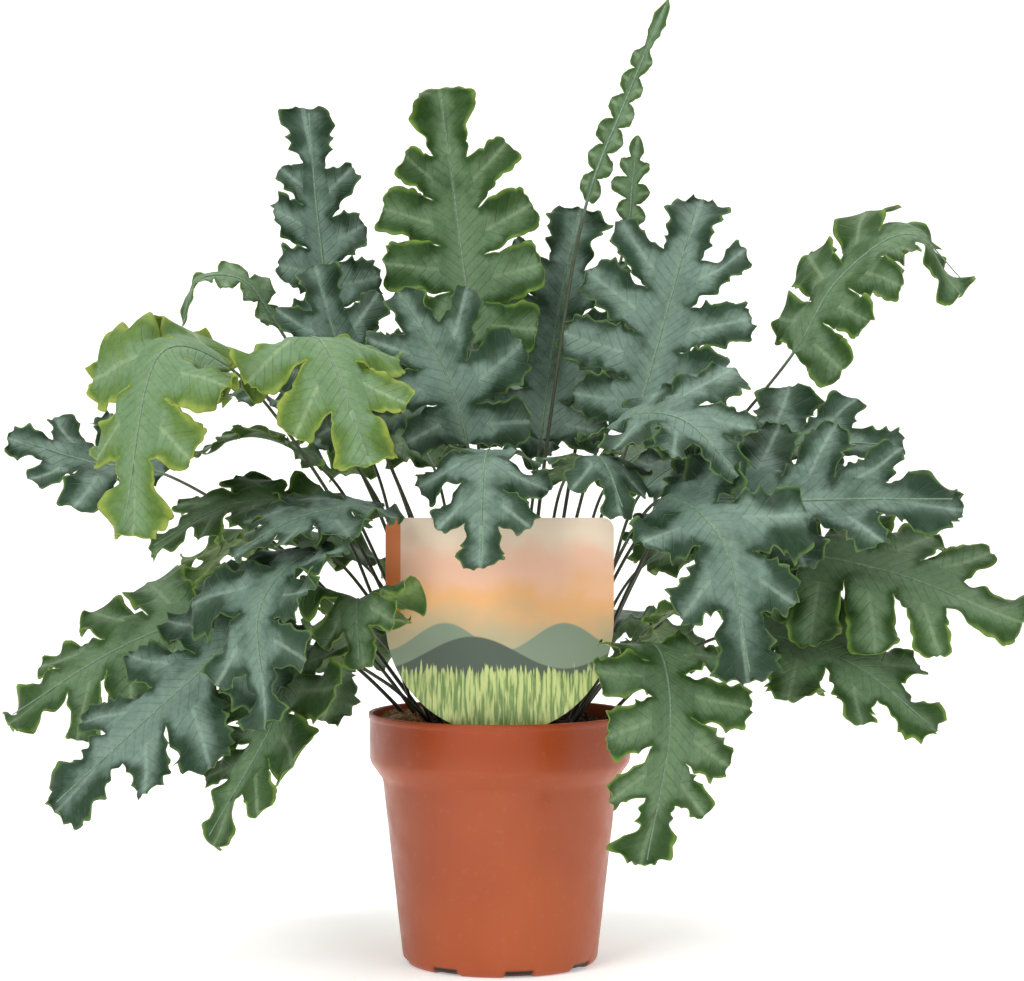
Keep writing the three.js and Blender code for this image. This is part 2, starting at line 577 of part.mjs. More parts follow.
const fern = new THREE.Group();
const hollows = [rootstockSolid(CLEAR), labelSolid(CLEAR), ...FRONDS.map(stipeHole)];
const soil = soilBlank().subtract(wasm.Manifold.union(hollows)).simplify(SOIL_GRAIN);
fern.add(named("pot", toGeometry(potSolid()), POT_LOOK));
fern.add(named("soil", toGeometry(soil), SOIL_LOOK));
fern.add(named("rootstock", toGeometry(rootstockSolid(0)), ROOTSTOCK_LOOK));
fern.add(named("label", toGeometry(labelSolid(0)), LABEL_LOOK));
FRONDS.forEach((row, i) => {
  const name = `frond_${String(i + 1).padStart(2, "0")}`;
  const look = { color: LEAF_TINTS[row.tint], roughness: LEAF_ROUGHNESS, metalness: 0 };
  fern.add(named(name, frondGeometry(row, i + 1), look));
});

export default fern;
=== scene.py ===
import bpy
import numpy as np
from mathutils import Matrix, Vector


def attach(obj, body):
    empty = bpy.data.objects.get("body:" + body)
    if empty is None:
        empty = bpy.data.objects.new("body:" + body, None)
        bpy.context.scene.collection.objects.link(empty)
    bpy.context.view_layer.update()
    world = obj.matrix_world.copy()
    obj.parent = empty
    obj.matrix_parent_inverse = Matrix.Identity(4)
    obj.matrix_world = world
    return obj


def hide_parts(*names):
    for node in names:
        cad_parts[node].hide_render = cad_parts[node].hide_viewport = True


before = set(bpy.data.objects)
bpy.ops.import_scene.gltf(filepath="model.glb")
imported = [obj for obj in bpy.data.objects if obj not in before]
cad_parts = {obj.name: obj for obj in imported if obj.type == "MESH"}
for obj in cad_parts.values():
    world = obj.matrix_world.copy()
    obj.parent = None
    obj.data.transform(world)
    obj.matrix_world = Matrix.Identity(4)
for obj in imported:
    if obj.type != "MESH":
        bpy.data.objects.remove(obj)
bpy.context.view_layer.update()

# The studio: a camera at the height of the lower leaves, a pale paper sweep that runs under the pot and
# curves up behind it, and three large soft lamps. None of it is part of the plant.
CAMERA_PLACE = (0.0054, -1.25, 0.240)
CAMERA_DOWN = 1.15
CAMERA_LENS = 96.4
SWEEP_HALF_WIDTH = 3500
SWEEP_FRONT = -2500
SWEEP_BACK = 1300
SWEEP_CURVE = 700
SWEEP_TOP = 3200

view = bpy.data.cameras.new("view")
view.lens = CAMERA_LENS
view.sensor_width = 36
camera = bpy.data.objects.new("camera", view)
camera.location = CAMERA_PLACE
camera.rotation_euler = (np.radians(90 - CAMERA_DOWN), 0, 0)
bpy.context.scene.collection.objects.link(camera)
bpy.context.scene.camera = camera


def paint(code):
    """The linear colour of a six-digit sRGB code: each channel c becomes ((c + 0.055) / 1.055) to the power 2.4,
    or c / 12.92 where it is dark."""
    c = np.array([int(code[i : i + 2], 16) / 255 for i in (0, 2, 4)])
    c = np.where(c > 0.04045, ((c + 0.055) / 1.055) ** 2.4, c / 12.92)
    return (*c.tolist(), 1.0)


def make_piece(name, points, corners, sides, smooth=True):
    """A mesh object from points in millimetres and faces given as one run of corner numbers, with the number of
    sides of each face."""
    mesh = bpy.data.meshes.new(name)
    mesh.vertices.add(len(points))
    mesh.vertices.foreach_set("co", (np.asarray(points) * 0.001).astype(np.float32).ravel())
    mesh.loops.add(len(corners))
    mesh.loops.foreach_set("vertex_index", np.asarray(corners, dtype=np.int32))
    mesh.polygons.add(len(sides))
    mesh.polygons.foreach_set("loop_start", (np.cumsum(sides) - sides).astype(np.int32))
    mesh.polygons.foreach_set("use_smooth", np.broadcast_to(np.asarray(smooth, dtype=bool), len(sides)))
    mesh.update(calc_edges=True)
    piece = bpy.data.objects.new(name, mesh)
    bpy.context.scene.collection.objects.link(piece)
    return piece


def grid_faces(rows, columns, around=False):
    """The four-sided faces between neighbours of a grid of points numbered row by row. With around, the last
    column is joined to the first."""
    numbers = np.arange(rows * columns).reshape(rows, columns)
    if around:
        numbers = np.column_stack([numbers, numbers[:, 0]])
    return np.stack([numbers[:-1, :-1], numbers[:-1, 1:], numbers[1:, 1:], numbers[1:, :-1]], axis=-1).reshape(-1, 4)


def closed_tube(name, grid, inward=False, smooth=True):
    """A closed mesh from a grid whose rows are rings of points, with one flat face over each end. With inward,
    the rings run the other way round, so every face is turned over."""
    rows, columns = grid.shape[:2]
    faces = grid_faces(rows, columns, around=True)
    first = np.arange(columns)[::-1]
    last = np.arange(columns) + (rows - 1) * columns
    if inward:
        faces, first, last = faces[:, ::-1], first[::-1], last[::-1]
    corners = np.concatenate([faces.ravel(), first, last])
    return make_piece(name, grid.reshape(-1, 3), corners, np.append(np.full(len(faces), 4), [columns] * 2), smooth)


def give_value(piece, name, values):
    """Gives each point of a piece a number, which its material reads by that name."""
    layer = piece.data.attributes.new(name, "FLOAT", "POINT")
    layer.data.foreach_set("value", values.astype(np.float32))


def add_node(tree, kind, values=(), **settings):
    """Adds a node, sets its settings, and gives each input named or numbered in values a value or a socket."""
    made = tree.nodes.new(kind)
    for key, value in settings.items():
        setattr(made, key, value)
    for key, value in dict(values).items():
        if isinstance(value, bpy.types.NodeSocket):
            tree.links.new(value, made.inputs[key])
        else:
            made.inputs[key].default_value = value
    return made


def new_material(name, color, roughness, specular=0.5):
    """A material with one Principled shader: its node tree and that shader."""
    material = bpy.data.materials.new(name)
    material.use_nodes = True
    tree = material.node_tree
    shader = tree.nodes["Principled BSDF"]
    shader.inputs["Base Color"].default_value = paint(color)
    shader.inputs["Roughness"].default_value = roughness
    shader.inputs["Specular IOR Level"].default_value = specular
    return material, tree, shader


def sweep_points():
    """The paper sweep: x runs across, and the second parameter runs along the floor, round a quarter circle and
    up the wall behind."""
    turn = np.linspace(0, np.pi / 2, 24)
    y = np.concatenate([[SWEEP_FRONT], SWEEP_BACK + SWEEP_CURVE * np.sin(turn), [SWEEP_BACK + SWEEP_CURVE]])
    z = np.concatenate([[0], SWEEP_CURVE * (1 - np.cos(turn)), [SWEEP_TOP]])
    x = np.array([-SWEEP_HALF_WIDTH, SWEEP_HALF_WIDTH])
    return np.stack([np.broadcast_to(x, (len(y), 2)), *(np.repeat(v[:, None], 2, axis=1) for v in (y, z))], axis=-1)


sweep_grid = sweep_points()
sweep_faces = grid_faces(*sweep_grid.shape[:2])
sweep = make_piece("paper_sweep", sweep_grid.reshape(-1, 3), sweep_faces.ravel(), np.full(len(sweep_faces), 4))
paper, _, paper_shader = new_material("paper", "f4f4f2", 0.9, 0.2)
paper_shader.inputs["Emission Color"].default_value = (1, 1, 1, 1)
paper_shader.inputs["Emission Strength"].default_value = 0.34
sweep.data.materials.append(paper)


def soft_lamp(name, place, aim, size, power):
    """A square lamp of that size in metres, turned to face the point aim."""
    light = bpy.data.lights.new(name, "AREA")
    light.size = size
    light.energy = power
    lamp = bpy.data.objects.new(name, light)
    lamp.location = place
    away = lamp.location - Vector(aim)
    lamp.rotation_euler = away.to_track_quat("Z", "Y").to_euler()
    bpy.context.scene.collection.objects.link(lamp)


soft_lamp("lamp_left", (-1.1, -1.5, 1.5), (0, 0, 0.2), 1.2, 33)
soft_lamp("lamp_right", (1.5, -1.2, 0.9), (0, 0, 0.2), 1.2, 9)
soft_lamp("lamp_top", (0.1, 0.3, 1.9), (0, 0, 0.2), 1.4, 20)
room = bpy.data.worlds.new("room")
room.use_nodes = True
room.node_tree.nodes["Background"].inputs["Color"].default_value = (1, 1, 1, 1)
room.node_tree.nodes["Background"].inputs["Strength"].default_value = 0.42
bpy.context.scene.world = room
bpy.context.scene.view_settings.view_transform = "Standard"

# The pot: a thin moulded cup of terracotta-coloured polypropylene with a wide collar, a rolled lip, a rounded
# foot and eight drain slots in its lower edge, painted near-black as painted shade. It is one turned wall, satin
# outside.
POT_HEIGHT = 114
POT_WALL = 1.4
WALL_TOP = 53.6
COLLAR_LOW = 84
FOOT = 44.2
SLOT_COUNT = 8
SLOT_WIDTH = 13
SLOT_HEIGHT = 3.8
SLOT_DEPTH = 0.8
POT_CORNERS = [
    (1.0, 0, 0),
    (FOOT - 6, 0, 0),
    (FOOT, 0, 4),
    (WALL_TOP, COLLAR_LOW, 1.5),
    (59.4, COLLAR_LOW + 8, 2.0),
    (59.5, POT_HEIGHT - 2.8, 0.5),
    (60.0, POT_HEIGHT - 2.2, 0.5),
    (60.0, POT_HEIGHT, 0.7),
    (58.3, POT_HEIGHT, 0.7),
    (57.9, COLLAR_LOW + 8, 1.5),
    (WALL_TOP - POT_WALL, COLLAR_LOW, 1.5),
    (43.0, 2.0, 3),
    (1.0, 2.0, 0),
]


def rounded_path(corners, steps=7):
    """A path through corners given as across, height and radius. Each corner becomes the quadratic curve from a
    point radius before it to a point radius after it, with the corner as its middle control point."""
    path = []
    share = np.linspace(0, 1, steps)[:, None]
    for i, (across, height, radius) in enumerate(corners):
        here = np.array([across, height], float)
        if radius == 0:
            path.append(here[None])
            continue
        ends = [here + radius * (np.array(n[:2]) - here) / np.linalg.norm(np.array(n[:2]) - here) for n in
                (corners[i - 1], corners[i + 1])]
        path.append((1 - share) ** 2 * ends[0] + 2 * share * (1 - share) * here + share**2 * ends[1])
    return np.concatenate(path)


def split_long(path, longest):
    """The same path with every stretch longer than the limit cut into equal shorter ones."""
    parts = [path[:1]]
    for a, b in zip(path[:-1], path[1:]):
        n = max(1, int(np.ceil(np.linalg.norm(b - a) / longest)))
        parts.append(a + (b - a) * (np.arange(1, n + 1) / n)[:, None])
    return np.concatenate(parts)


def turned_piece(name, path, columns, shape=None):
    """A closed solid of revolution: the path of (radius, height) is carried round Z in equal steps, the grid of
    points may be reshaped, and flat faces close its first and last rings."""
    turn = np.linspace(0, 2 * np.pi, columns, endpoint=False)
    radius, height = path[:, :1], path[:, 1:]
    points = np.stack([radius * np.cos(turn), radius * np.sin(turn), height + 0 * turn], axis=-1)
    if shape is not None:
        points = shape(points, turn)
    return closed_tube(name, points)


def slot_share(turn):
    """How far an angle lies inside one of the drain slots: 1 within its width, falling to 0 over a millimetre."""
    step = 2 * np.pi / SLOT_COUNT
    from_middle = np.abs((turn / step - 0.25 + 0.5) % 1 - 0.5) * step * FOOT
    return np.clip(SLOT_WIDTH / 2 + 0.5 - from_middle, 0, 1)


def cut_slots(points, turn):
    """The drain slots: where the angle is within one of them, the outer foot is pressed in and its underside lifted.
    That share is also kept as the mask of the slots' painted shade.
    """
    radius = np.hypot(points[..., 0], points[..., 1])
    outer = (np.arange(len(points)) < FOOT_ROWS)[:, None]
    low = np.clip((SLOT_HEIGHT - points[..., 2]) / 0.3, 0, 1) * outer * (radius > FOOT - 5)
    inside = slot_share(turn) * low
    points[..., :2] *= (1 - inside * SLOT_DEPTH / radius)[..., None]
    points[..., 2] += inside * np.clip(1.5 - points[..., 2], 0, 1.5)
    slot_shade_mask.append(inside.ravel())
    return points


pot_path = split_long(rounded_path(POT_CORNERS), 3.0)
FOOT_ROWS = int(np.argmax(pot_path[:, 1] > SLOT_HEIGHT + 2))
slot_shade_mask = []
pot = turned_piece("nursery_pot", pot_path, 288, cut_slots)
# The mask of the drain slots' painted shade, which the pot's material reads.
give_value(pot, "slot_shade", slot_shade_mask[0])


def calc(tree, operation, a, b=0.0):
    """A Math node's result."""
    return add_node(tree, "ShaderNodeMath", {0: a, 1: b}, operation=operation).outputs[0]


def smooth_step(tree, value, low, high, start=0.0, end=1.0):
    """value carried from the range low to high into start to end, level outside it and with smooth ends."""
    made = add_node(tree, "ShaderNodeMapRange", {"Value": value, "From Min": low, "From Max": high, "To Min": start,
                    "To Max": end}, interpolation_type="SMOOTHSTEP")
    return made.outputs["Result"]


def two_colors(tree, share, a, b):
    """The mix of two colours or colour sockets."""
    made = add_node(tree, "ShaderNodeMix", {0: share, 6: a, 7: b}, data_type="RGBA")
    return made.outputs[2]


def cloud(tree, where, scale, detail=3.0, roughness=0.55):
    """Smooth noise from 0 to 1 at that many turns a metre."""
    return add_node(tree, "ShaderNodeTexNoise", {"Vector": where, "Scale": scale, "Detail": detail,
                    "Roughness": roughness}).outputs["Fac"]


def object_place(tree):
    """The socket with the point's place on the object, in metres."""
    return add_node(tree, "ShaderNodeTexCoord").outputs["Object"]


def use_bump(tree, shader, height, distance, strength=1.0):
    """Gives the shader a relief of that height in metres."""
    bump = add_node(tree, "ShaderNodeBump", {"Height": height, "Distance": distance, "Strength": strength})
    tree.links.new(bump.outputs["Normal"], shader.inputs["Normal"])


def pot_finish():
    """Satin moulded plastic: a slow change of tone, a redder collar, fine dull scuffs, and the drain slots painted
    near-black as painted shade for their openings.
    """
    material, tree, shader = new_material("pot_plastic", "a04a26", 0.36, 0.34)
    place = object_place(tree)
    tone = smooth_step(tree, cloud(tree, place, 14, 2), 0.35, 0.65)
    body = two_colors(tree, tone, paint("a04a26"), paint("a95128"))
    height = add_node(tree, "ShaderNodeSeparateXYZ", {0: place}).outputs["Z"]
    collar = smooth_step(tree, height, 0.086, 0.104)
    body = two_colors(tree, calc(tree, "MULTIPLY", collar, 0.7), body, paint("9b3d14"))
    scuff = smooth_step(tree, cloud(tree, place, 260, 4, 0.7), 0.56, 0.72)
    dusty = two_colors(tree, calc(tree, "MULTIPLY", scuff, 0.1), body, paint("b98a6a"))
    # Painted shade: the drain slots are coloured near-black to stand for their dark openings.
    slot_shade = add_node(tree, "ShaderNodeAttribute", attribute_name="slot_shade").outputs["Fac"]
    tree.links.new(two_colors(tree, slot_shade, dusty, paint("140d0a")), shader.inputs["Base Color"])
    rough = smooth_step(tree, cloud(tree, place, 90, 3), 0.3, 0.7, 0.3, 0.44)
    tree.links.new(rough, shader.inputs["Roughness"])
    use_bump(tree, shader, cloud(tree, place, 700, 2), 0.00006)
    return material


pot.data.materials.append(pot_finish())
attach(pot, "root")
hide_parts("pot")

# The soil: dark peat that fills the pot to just under its rim, mounded round the stipes and crumbly on top,
# with loose crumbs of peat and bark lying on it.
SOIL_EDGE = 107
SOIL_MOUND = 4
SOIL_LUMP = 1.4
SOIL_RADIUS = 57.6
POT_RADIUS = 60
CRUMBS = 1100
NOISE_CELLS = 97
NOISE_MIDDLE = 300


def patchy(x, y, size, seed):
    """Smooth noise from -1 to 1: random values on a square lattice of that size in millimetres, joined by
    smoothed interpolation."""
    lattice = np.random.default_rng(seed).uniform(-1, 1, (NOISE_CELLS, NOISE_CELLS))
    a, b = np.asarray(x) / size + NOISE_MIDDLE, np.asarray(y) / size + NOISE_MIDDLE
    i, j = np.floor(a).astype(int), np.floor(b).astype(int)
    u, v = (t * t * (3 - 2 * t) for t in (a - i, b - j))
    corner = [lattice[(i + p) % NOISE_CELLS, (j + q) % NOISE_CELLS] for p, q in ((0, 0), (1, 0), (0, 1), (1, 1))]
    return (1 - v) * ((1 - u) * corner[0] + u * corner[1]) + v * ((1 - u) * corner[2] + u * corner[3])


def soil_height(x, y):
    """The soil's top: a low dome with slow lumps and crumbs, brought down to a level edge by the pot's wall."""
    reach = np.hypot(x, y)
    dome = SOIL_MOUND * (1 - (reach / POT_RADIUS) ** 2) + SOIL_LUMP * np.sin(x * 0.31 + 1) * np.sin(y * 0.27)
    crumbs = 0.9 * patchy(x, y, 4.5, 3) + 0.6 * patchy(x, y, 2.1, 4)
    by_wall = np.clip((SOIL_RADIUS - reach) / 7, 0, 1)
    return SOIL_EDGE - 1 + (dome + crumbs + 1) * by_wall


def heap_soil(points, turn):
    """Raises the top rings to the soil's height."""
    top = points[..., 2] > SOIL_EDGE - 2
    points[..., 2] = np.where(top, soil_height(points[..., 0], points[..., 1]), points[..., 2])
    return points


soil_path = rounded_path([(1, 2.3, 0), (41, 2.3, 0), (42.9, 6.3, 0), (51.7, 84.3, 0), (57.6, 92.3, 0)])
soil_rings = np.linspace(SOIL_RADIUS, 1, 66)
soil_path = np.concatenate([soil_path, np.column_stack([soil_rings, np.full(66, SOIL_EDGE)])])
soil = turned_piece("soil_bed", soil_path, 220, heap_soil)


def many_lumps(base, faces, places, sizes, seed, squash=(1, 1, 0.7)):
    """One mesh of many small lumps: each is the base shape with its points moved a little at random, scaled,
    turned by a random rotation (a unit quaternion's matrix) and set at its place."""
    rng = np.random.default_rng(seed)
    count = len(places)
    shape = base * (1 + rng.uniform(-0.28, 0.28, (count, len(base), 1))) * np.array(squash)
    w, x, y, z = (lambda q: (q / np.linalg.norm(q, axis=0)))(rng.normal(size=(4, count)))
    matrix = np.array([
        [1 - 2 * (y * y + z * z), 2 * (x * y - w * z), 2 * (x * z + w * y)],
        [2 * (x * y + w * z), 1 - 2 * (x * x + z * z), 2 * (y * z - w * x)],
        [2 * (x * z - w * y), 2 * (y * z + w * x), 1 - 2 * (x * x + y * y)],
    ])
    points = np.einsum("ijn,nkj->nki", matrix, shape) * np.asarray(sizes)[:, None, None] + places[:, None]
    numbers = faces[None] + (np.arange(count) * len(base))[:, None, None]
    return points.reshape(-1, 3), numbers.reshape(-1, 3)


# A lump is an icosahedron: its corners are those of three golden rectangles, and its faces are the triples of
# corners that are all neighbours.
GOLDEN = (1 + 5**0.5) / 2
LUMP_POINTS = np.array([(0, a, b * GOLDEN) for a in (-1, 1) for b in (-1, 1)])
LUMP_POINTS = np.concatenate([np.roll(LUMP_POINTS, k, axis=1) for k in range(3)]) / 1.9
near = np.linalg.norm(LUMP_POINTS[:, None] - LUMP_POINTS[None], axis=-1) < 1.2
i, j, k = np.nonzero(near[:, :, None] & near[None] & near[:, None])
keep = (i < j) & (j < k)
LUMP_FACES = np.column_stack([i, j, k])[keep]
a, b, c = (LUMP_POINTS[LUMP_FACES[:, n]] for n in range(3))
inward = np.einsum("ni,ni->n", np.cross(b - a, c - a), a) < 0
LUMP_FACES[inward] = LUMP_FACES[inward][:, [0, 2, 1]]

crumb_rng = np.random.default_rng(11)
crumb_reach = 55.5 * np.sqrt(crumb_rng.uniform(0, 1, CRUMBS))
crumb_turn = crumb_rng.uniform(0, 2 * np.pi, CRUMBS)
crumb_x, crumb_y = crumb_reach * np.cos(crumb_turn), crumb_reach * np.sin(crumb_turn)
crumb_sizes = 0.5 + 1.5 * crumb_rng.uniform(0, 1, CRUMBS) ** 3
crumb_places = np.column_stack([crumb_x, crumb_y, soil_height(crumb_x, crumb_y) + 0.2 * crumb_sizes])
crumb_points, crumb_faces = many_lumps(LUMP_POINTS, LUMP_FACES, crumb_places, crumb_sizes, 12)
crumbs = make_piece("soil_crumbs", crumb_points, crumb_faces.ravel(), np.full(len(crumb_faces), 3), False)


def peat_finish(name, dark, light, grain):
    """Damp peat: near-black brown with lighter fibres, rough all over."""
    material, tree, shader = new_material(name, dark, 0.92, 0.25)
    place = object_place(tree)
    tone = smooth_step(tree, cloud(tree, place, grain, 5, 0.75), 0.42, 0.72)
    tree.links.new(two_colors(tree, tone, paint(dark), paint(light)), shader.inputs["Base Color"])
    use_bump(tree, shader, cloud(tree, place, grain * 3, 5, 0.7), 0.0008)
    return material


soil.data.materials.append(peat_finish("peat", "1d120d", "4a3324", 300))
crumbs.data.materials.append(peat_finish("peat_crumbs", "2a1a12", "6b4a33", 420))
for piece in (soil, crumbs):
    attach(piece, "root")
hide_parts("soil")

# The rootstock: a fleshy creeping stem as thick as a finger, lying on the soil along the left of the pot, its
# growing tip raised at the front. It is covered in golden-brown scales that lie along it like fur.
ROOTSTOCK_PLACES = [(-6, 49, 105), (-32, 37, 107), (-48, 12, 108), (-48, -12, 109), (-36, -31, 113)]
ROOTSTOCK_RADIUS = 5
ROOTSTOCK_SCALES = 1500
LINE_STEPS = 160


def smooth_line(places, steps=LINE_STEPS):
    """A centripetal Catmull-Rom curve through the places, and the run of distances along it. Between two places
    it is the cubic that has the slopes given by their neighbours, with each gap weighted by the square root of
    its length; beyond the ends the line is carried on straight."""
    p = np.asarray(places, float)
    p = np.concatenate([[2 * p[0] - p[1]], p, [2 * p[-1] - p[-2]]])
    gap = np.sqrt(np.linalg.norm(np.diff(p, axis=0), axis=1))[:, None]
    slope = np.diff(p, axis=0) / gap
    jump = (p[2:] - p[:-2]) / (gap[1:] + gap[:-1])
    leave = (slope[:-1] - jump + slope[1:])[:-1] * gap[1:-1]
    meet = (slope[1:-1] - jump[1:] + slope[2:]) * gap[1:-1]
    x = np.linspace(0, 1, steps, endpoint=False)[:, None, None]
    a, b = p[1:-2], p[2:-1]
    line = a + leave * x + (3 * (b - a) - 2 * leave - meet) * x**2 + (2 * (a - b) + leave + meet) * x**3
    line = np.concatenate([line.transpose(1, 0, 2).reshape(-1, 3), p[-2:-1]])
    return line, np.concatenate([[0], np.cumsum(np.linalg.norm(np.diff(line, axis=0), axis=1))])


def at_distance(values, distances, wanted):
    """values, given at distances, read at the wanted distances."""
    return np.stack([np.interp(wanted, distances, column) for column in values.T], axis=-1)


def unit(vectors):
    """Each vector divided by its length."""
    return vectors / np.linalg.norm(vectors, axis=-1, keepdims=True)


def rootstock_surface(share, turn):
    """A point and the outward direction on the rootstock: the curve through its places with a circle round it,
    whose radius swells and narrows along it and closes at both ends."""
    line, distances = smooth_line(ROOTSTOCK_PLACES)
    where = share * distances[-1]
    middle = at_distance(line, distances, where)
    along = unit(at_distance(np.gradient(line, distances, axis=0), distances, where))
    side = unit(np.cross([0, 0, 1], along))
    up = np.cross(along, side)
    taper = np.minimum(1, 1.6 * np.sqrt(np.maximum(share * (1 - share), 0)) + 0.25) * np.sqrt(
        np.clip(1 - np.abs(2 * share - 1) ** 24, 0, 1))
    radius = ROOTSTOCK_RADIUS * (1 + 0.14 * np.sin(24 * share)) * np.maximum(taper, 0.02)
    away = side * np.cos(turn)[..., None] + up * np.sin(turn)[..., None]
    return middle + away * radius[..., None], away, along


def rootstock_body():
    """The stem itself: the surface above on a grid, closed at both ends."""
    share, turn = np.meshgrid(np.linspace(0, 1, 70), np.linspace(0, 2 * np.pi, 28, endpoint=False), indexing="ij")
    return closed_tube("rootstock_stem", rootstock_surface(share, turn)[0], inward=True)


def rootstock_fur():
    """The scales: each is a thin four-sided sliver with its root on the stem, leaning along it and a little out."""
    rng = np.random.default_rng(21)
    share = rng.uniform(0.01, 0.985, ROOTSTOCK_SCALES)
    turn = rng.uniform(0, 2 * np.pi, ROOTSTOCK_SCALES)
    root, away, along = rootstock_surface(share, turn)
    across = unit(np.cross(away, along))
    length = rng.uniform(1.6, 3.6, (ROOTSTOCK_SCALES, 1))
    lean = unit(along + away * rng.uniform(0.12, 0.6, (ROOTSTOCK_SCALES, 1)) + across * rng.normal(0, 0.3,
                (ROOTSTOCK_SCALES, 1)))
    half = rng.uniform(0.2, 0.42, (ROOTSTOCK_SCALES, 1))
    points = np.stack([root - 0.2 * away, root + lean * length * 0.4 + across * half, root + lean * length,
                       root + lean * length * 0.4 - across * half, root + lean * length * 0.4 + away * 0.15], axis=1)
    faces = np.array([(0, 1, 4), (1, 2, 4), (2, 3, 4), (3, 0, 4), (0, 2, 1), (0, 3, 2)])
    numbers = faces[None] + 5 * np.arange(ROOTSTOCK_SCALES)[:, None, None]
    return make_piece("rootstock_scales", points.reshape(-1, 3), numbers.ravel(), np.full(numbers.size // 3, 3), False)


def fur_finish(name, deep, pale):
    """Golden-brown scales: each patch of them has its own tone, and they have a soft silky sheen."""
    material, tree, shader = new_material(name, deep, 0.6)
    place = object_place(tree)
    tone = smooth_step(tree, cloud(tree, place, 900, 4, 0.7), 0.35, 0.68)
    tree.links.new(two_colors(tree, tone, paint(deep), paint(pale)), shader.inputs["Base Color"])
    shader.inputs["Sheen Weight"].default_value = 0.3
    use_bump(tree, shader, cloud(tree, place, 1500, 3), 0.0003)
    return material


rootstock = rootstock_body()
rootstock.data.materials.append(fur_finish("rootstock_skin", "6e4a1c", "a87830"))
scales = rootstock_fur()
scales.data.materials.append(fur_finish("rootstock_fur", "a06c1f", "e6b54f"))
for piece in (rootstock, scales):
    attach(piece, "root")
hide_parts("rootstock")

# The label: a card of printed plastic with straight sides and a round lower half, on a spike pushed into the
# soil at the front. Its print is a plain evening sky over soft hills and grass, and it carries no words.
LABEL_HALF = 50
LABEL_MIDDLE = 159
LABEL_TOP = 204
LABEL_CORNER = 5
LABEL_Y = -50
LABEL_THICK = 0.8
SPIKE_HALF = 6.5
SPIKE_LOW = 75
SPIKE_POINT = 10


def label_half_width(z):
    """Half the card's width at a height: straight sides with rounded top corners, a half circle below the
    middle, and the spike with its point."""
    into_corner = np.clip(z - (LABEL_TOP - LABEL_CORNER), 0, LABEL_CORNER)
    straight = LABEL_HALF - LABEL_CORNER + np.sqrt(LABEL_CORNER**2 - into_corner**2)
    circle = np.sqrt(np.maximum(LABEL_HALF**2 - np.minimum(z - LABEL_MIDDLE, 0) ** 2, 0))
    spike = np.minimum(SPIKE_HALF, 0.6 + (z - SPIKE_LOW) * SPIKE_HALF / SPIKE_POINT)
    return np.where(z > LABEL_MIDDLE, straight, np.maximum(circle, spike))


def label_points():
    """The card as a thin closed shell: height runs along it and the second parameter runs round its section, the
    front from left to right and then the back from right to left. It bows forward very slightly."""
    corner = LABEL_TOP - LABEL_CORNER * (1 - np.sin(np.linspace(0, np.pi / 2, 10)))
    round_half = LABEL_MIDDLE - LABEL_HALF * np.sin(np.linspace(np.pi / 2, 0, 60))
    z = np.concatenate([np.linspace(SPIKE_LOW, SPIKE_LOW + SPIKE_POINT, 6), np.linspace(87, 108.5, 8),
                        round_half[round_half > 109.5], np.linspace(160, 198, 20), corner])
    half = label_half_width(z)
    share = np.linspace(-1, 1, 25)
    x = np.concatenate([half[:, None] * share, half[:, None] * share[::-1]], axis=1)
    bow = -0.4 * np.cos(x / LABEL_HALF * 1.2) * np.clip((z[:, None] - 112) / 60, 0, 1)
    y = LABEL_Y + bow + 0.2 + np.concatenate([np.full(25, -0.5), np.full(25, 0.5)]) * LABEL_THICK
    return np.stack([x, y, np.broadcast_to(z[:, None], x.shape)], axis=-1)


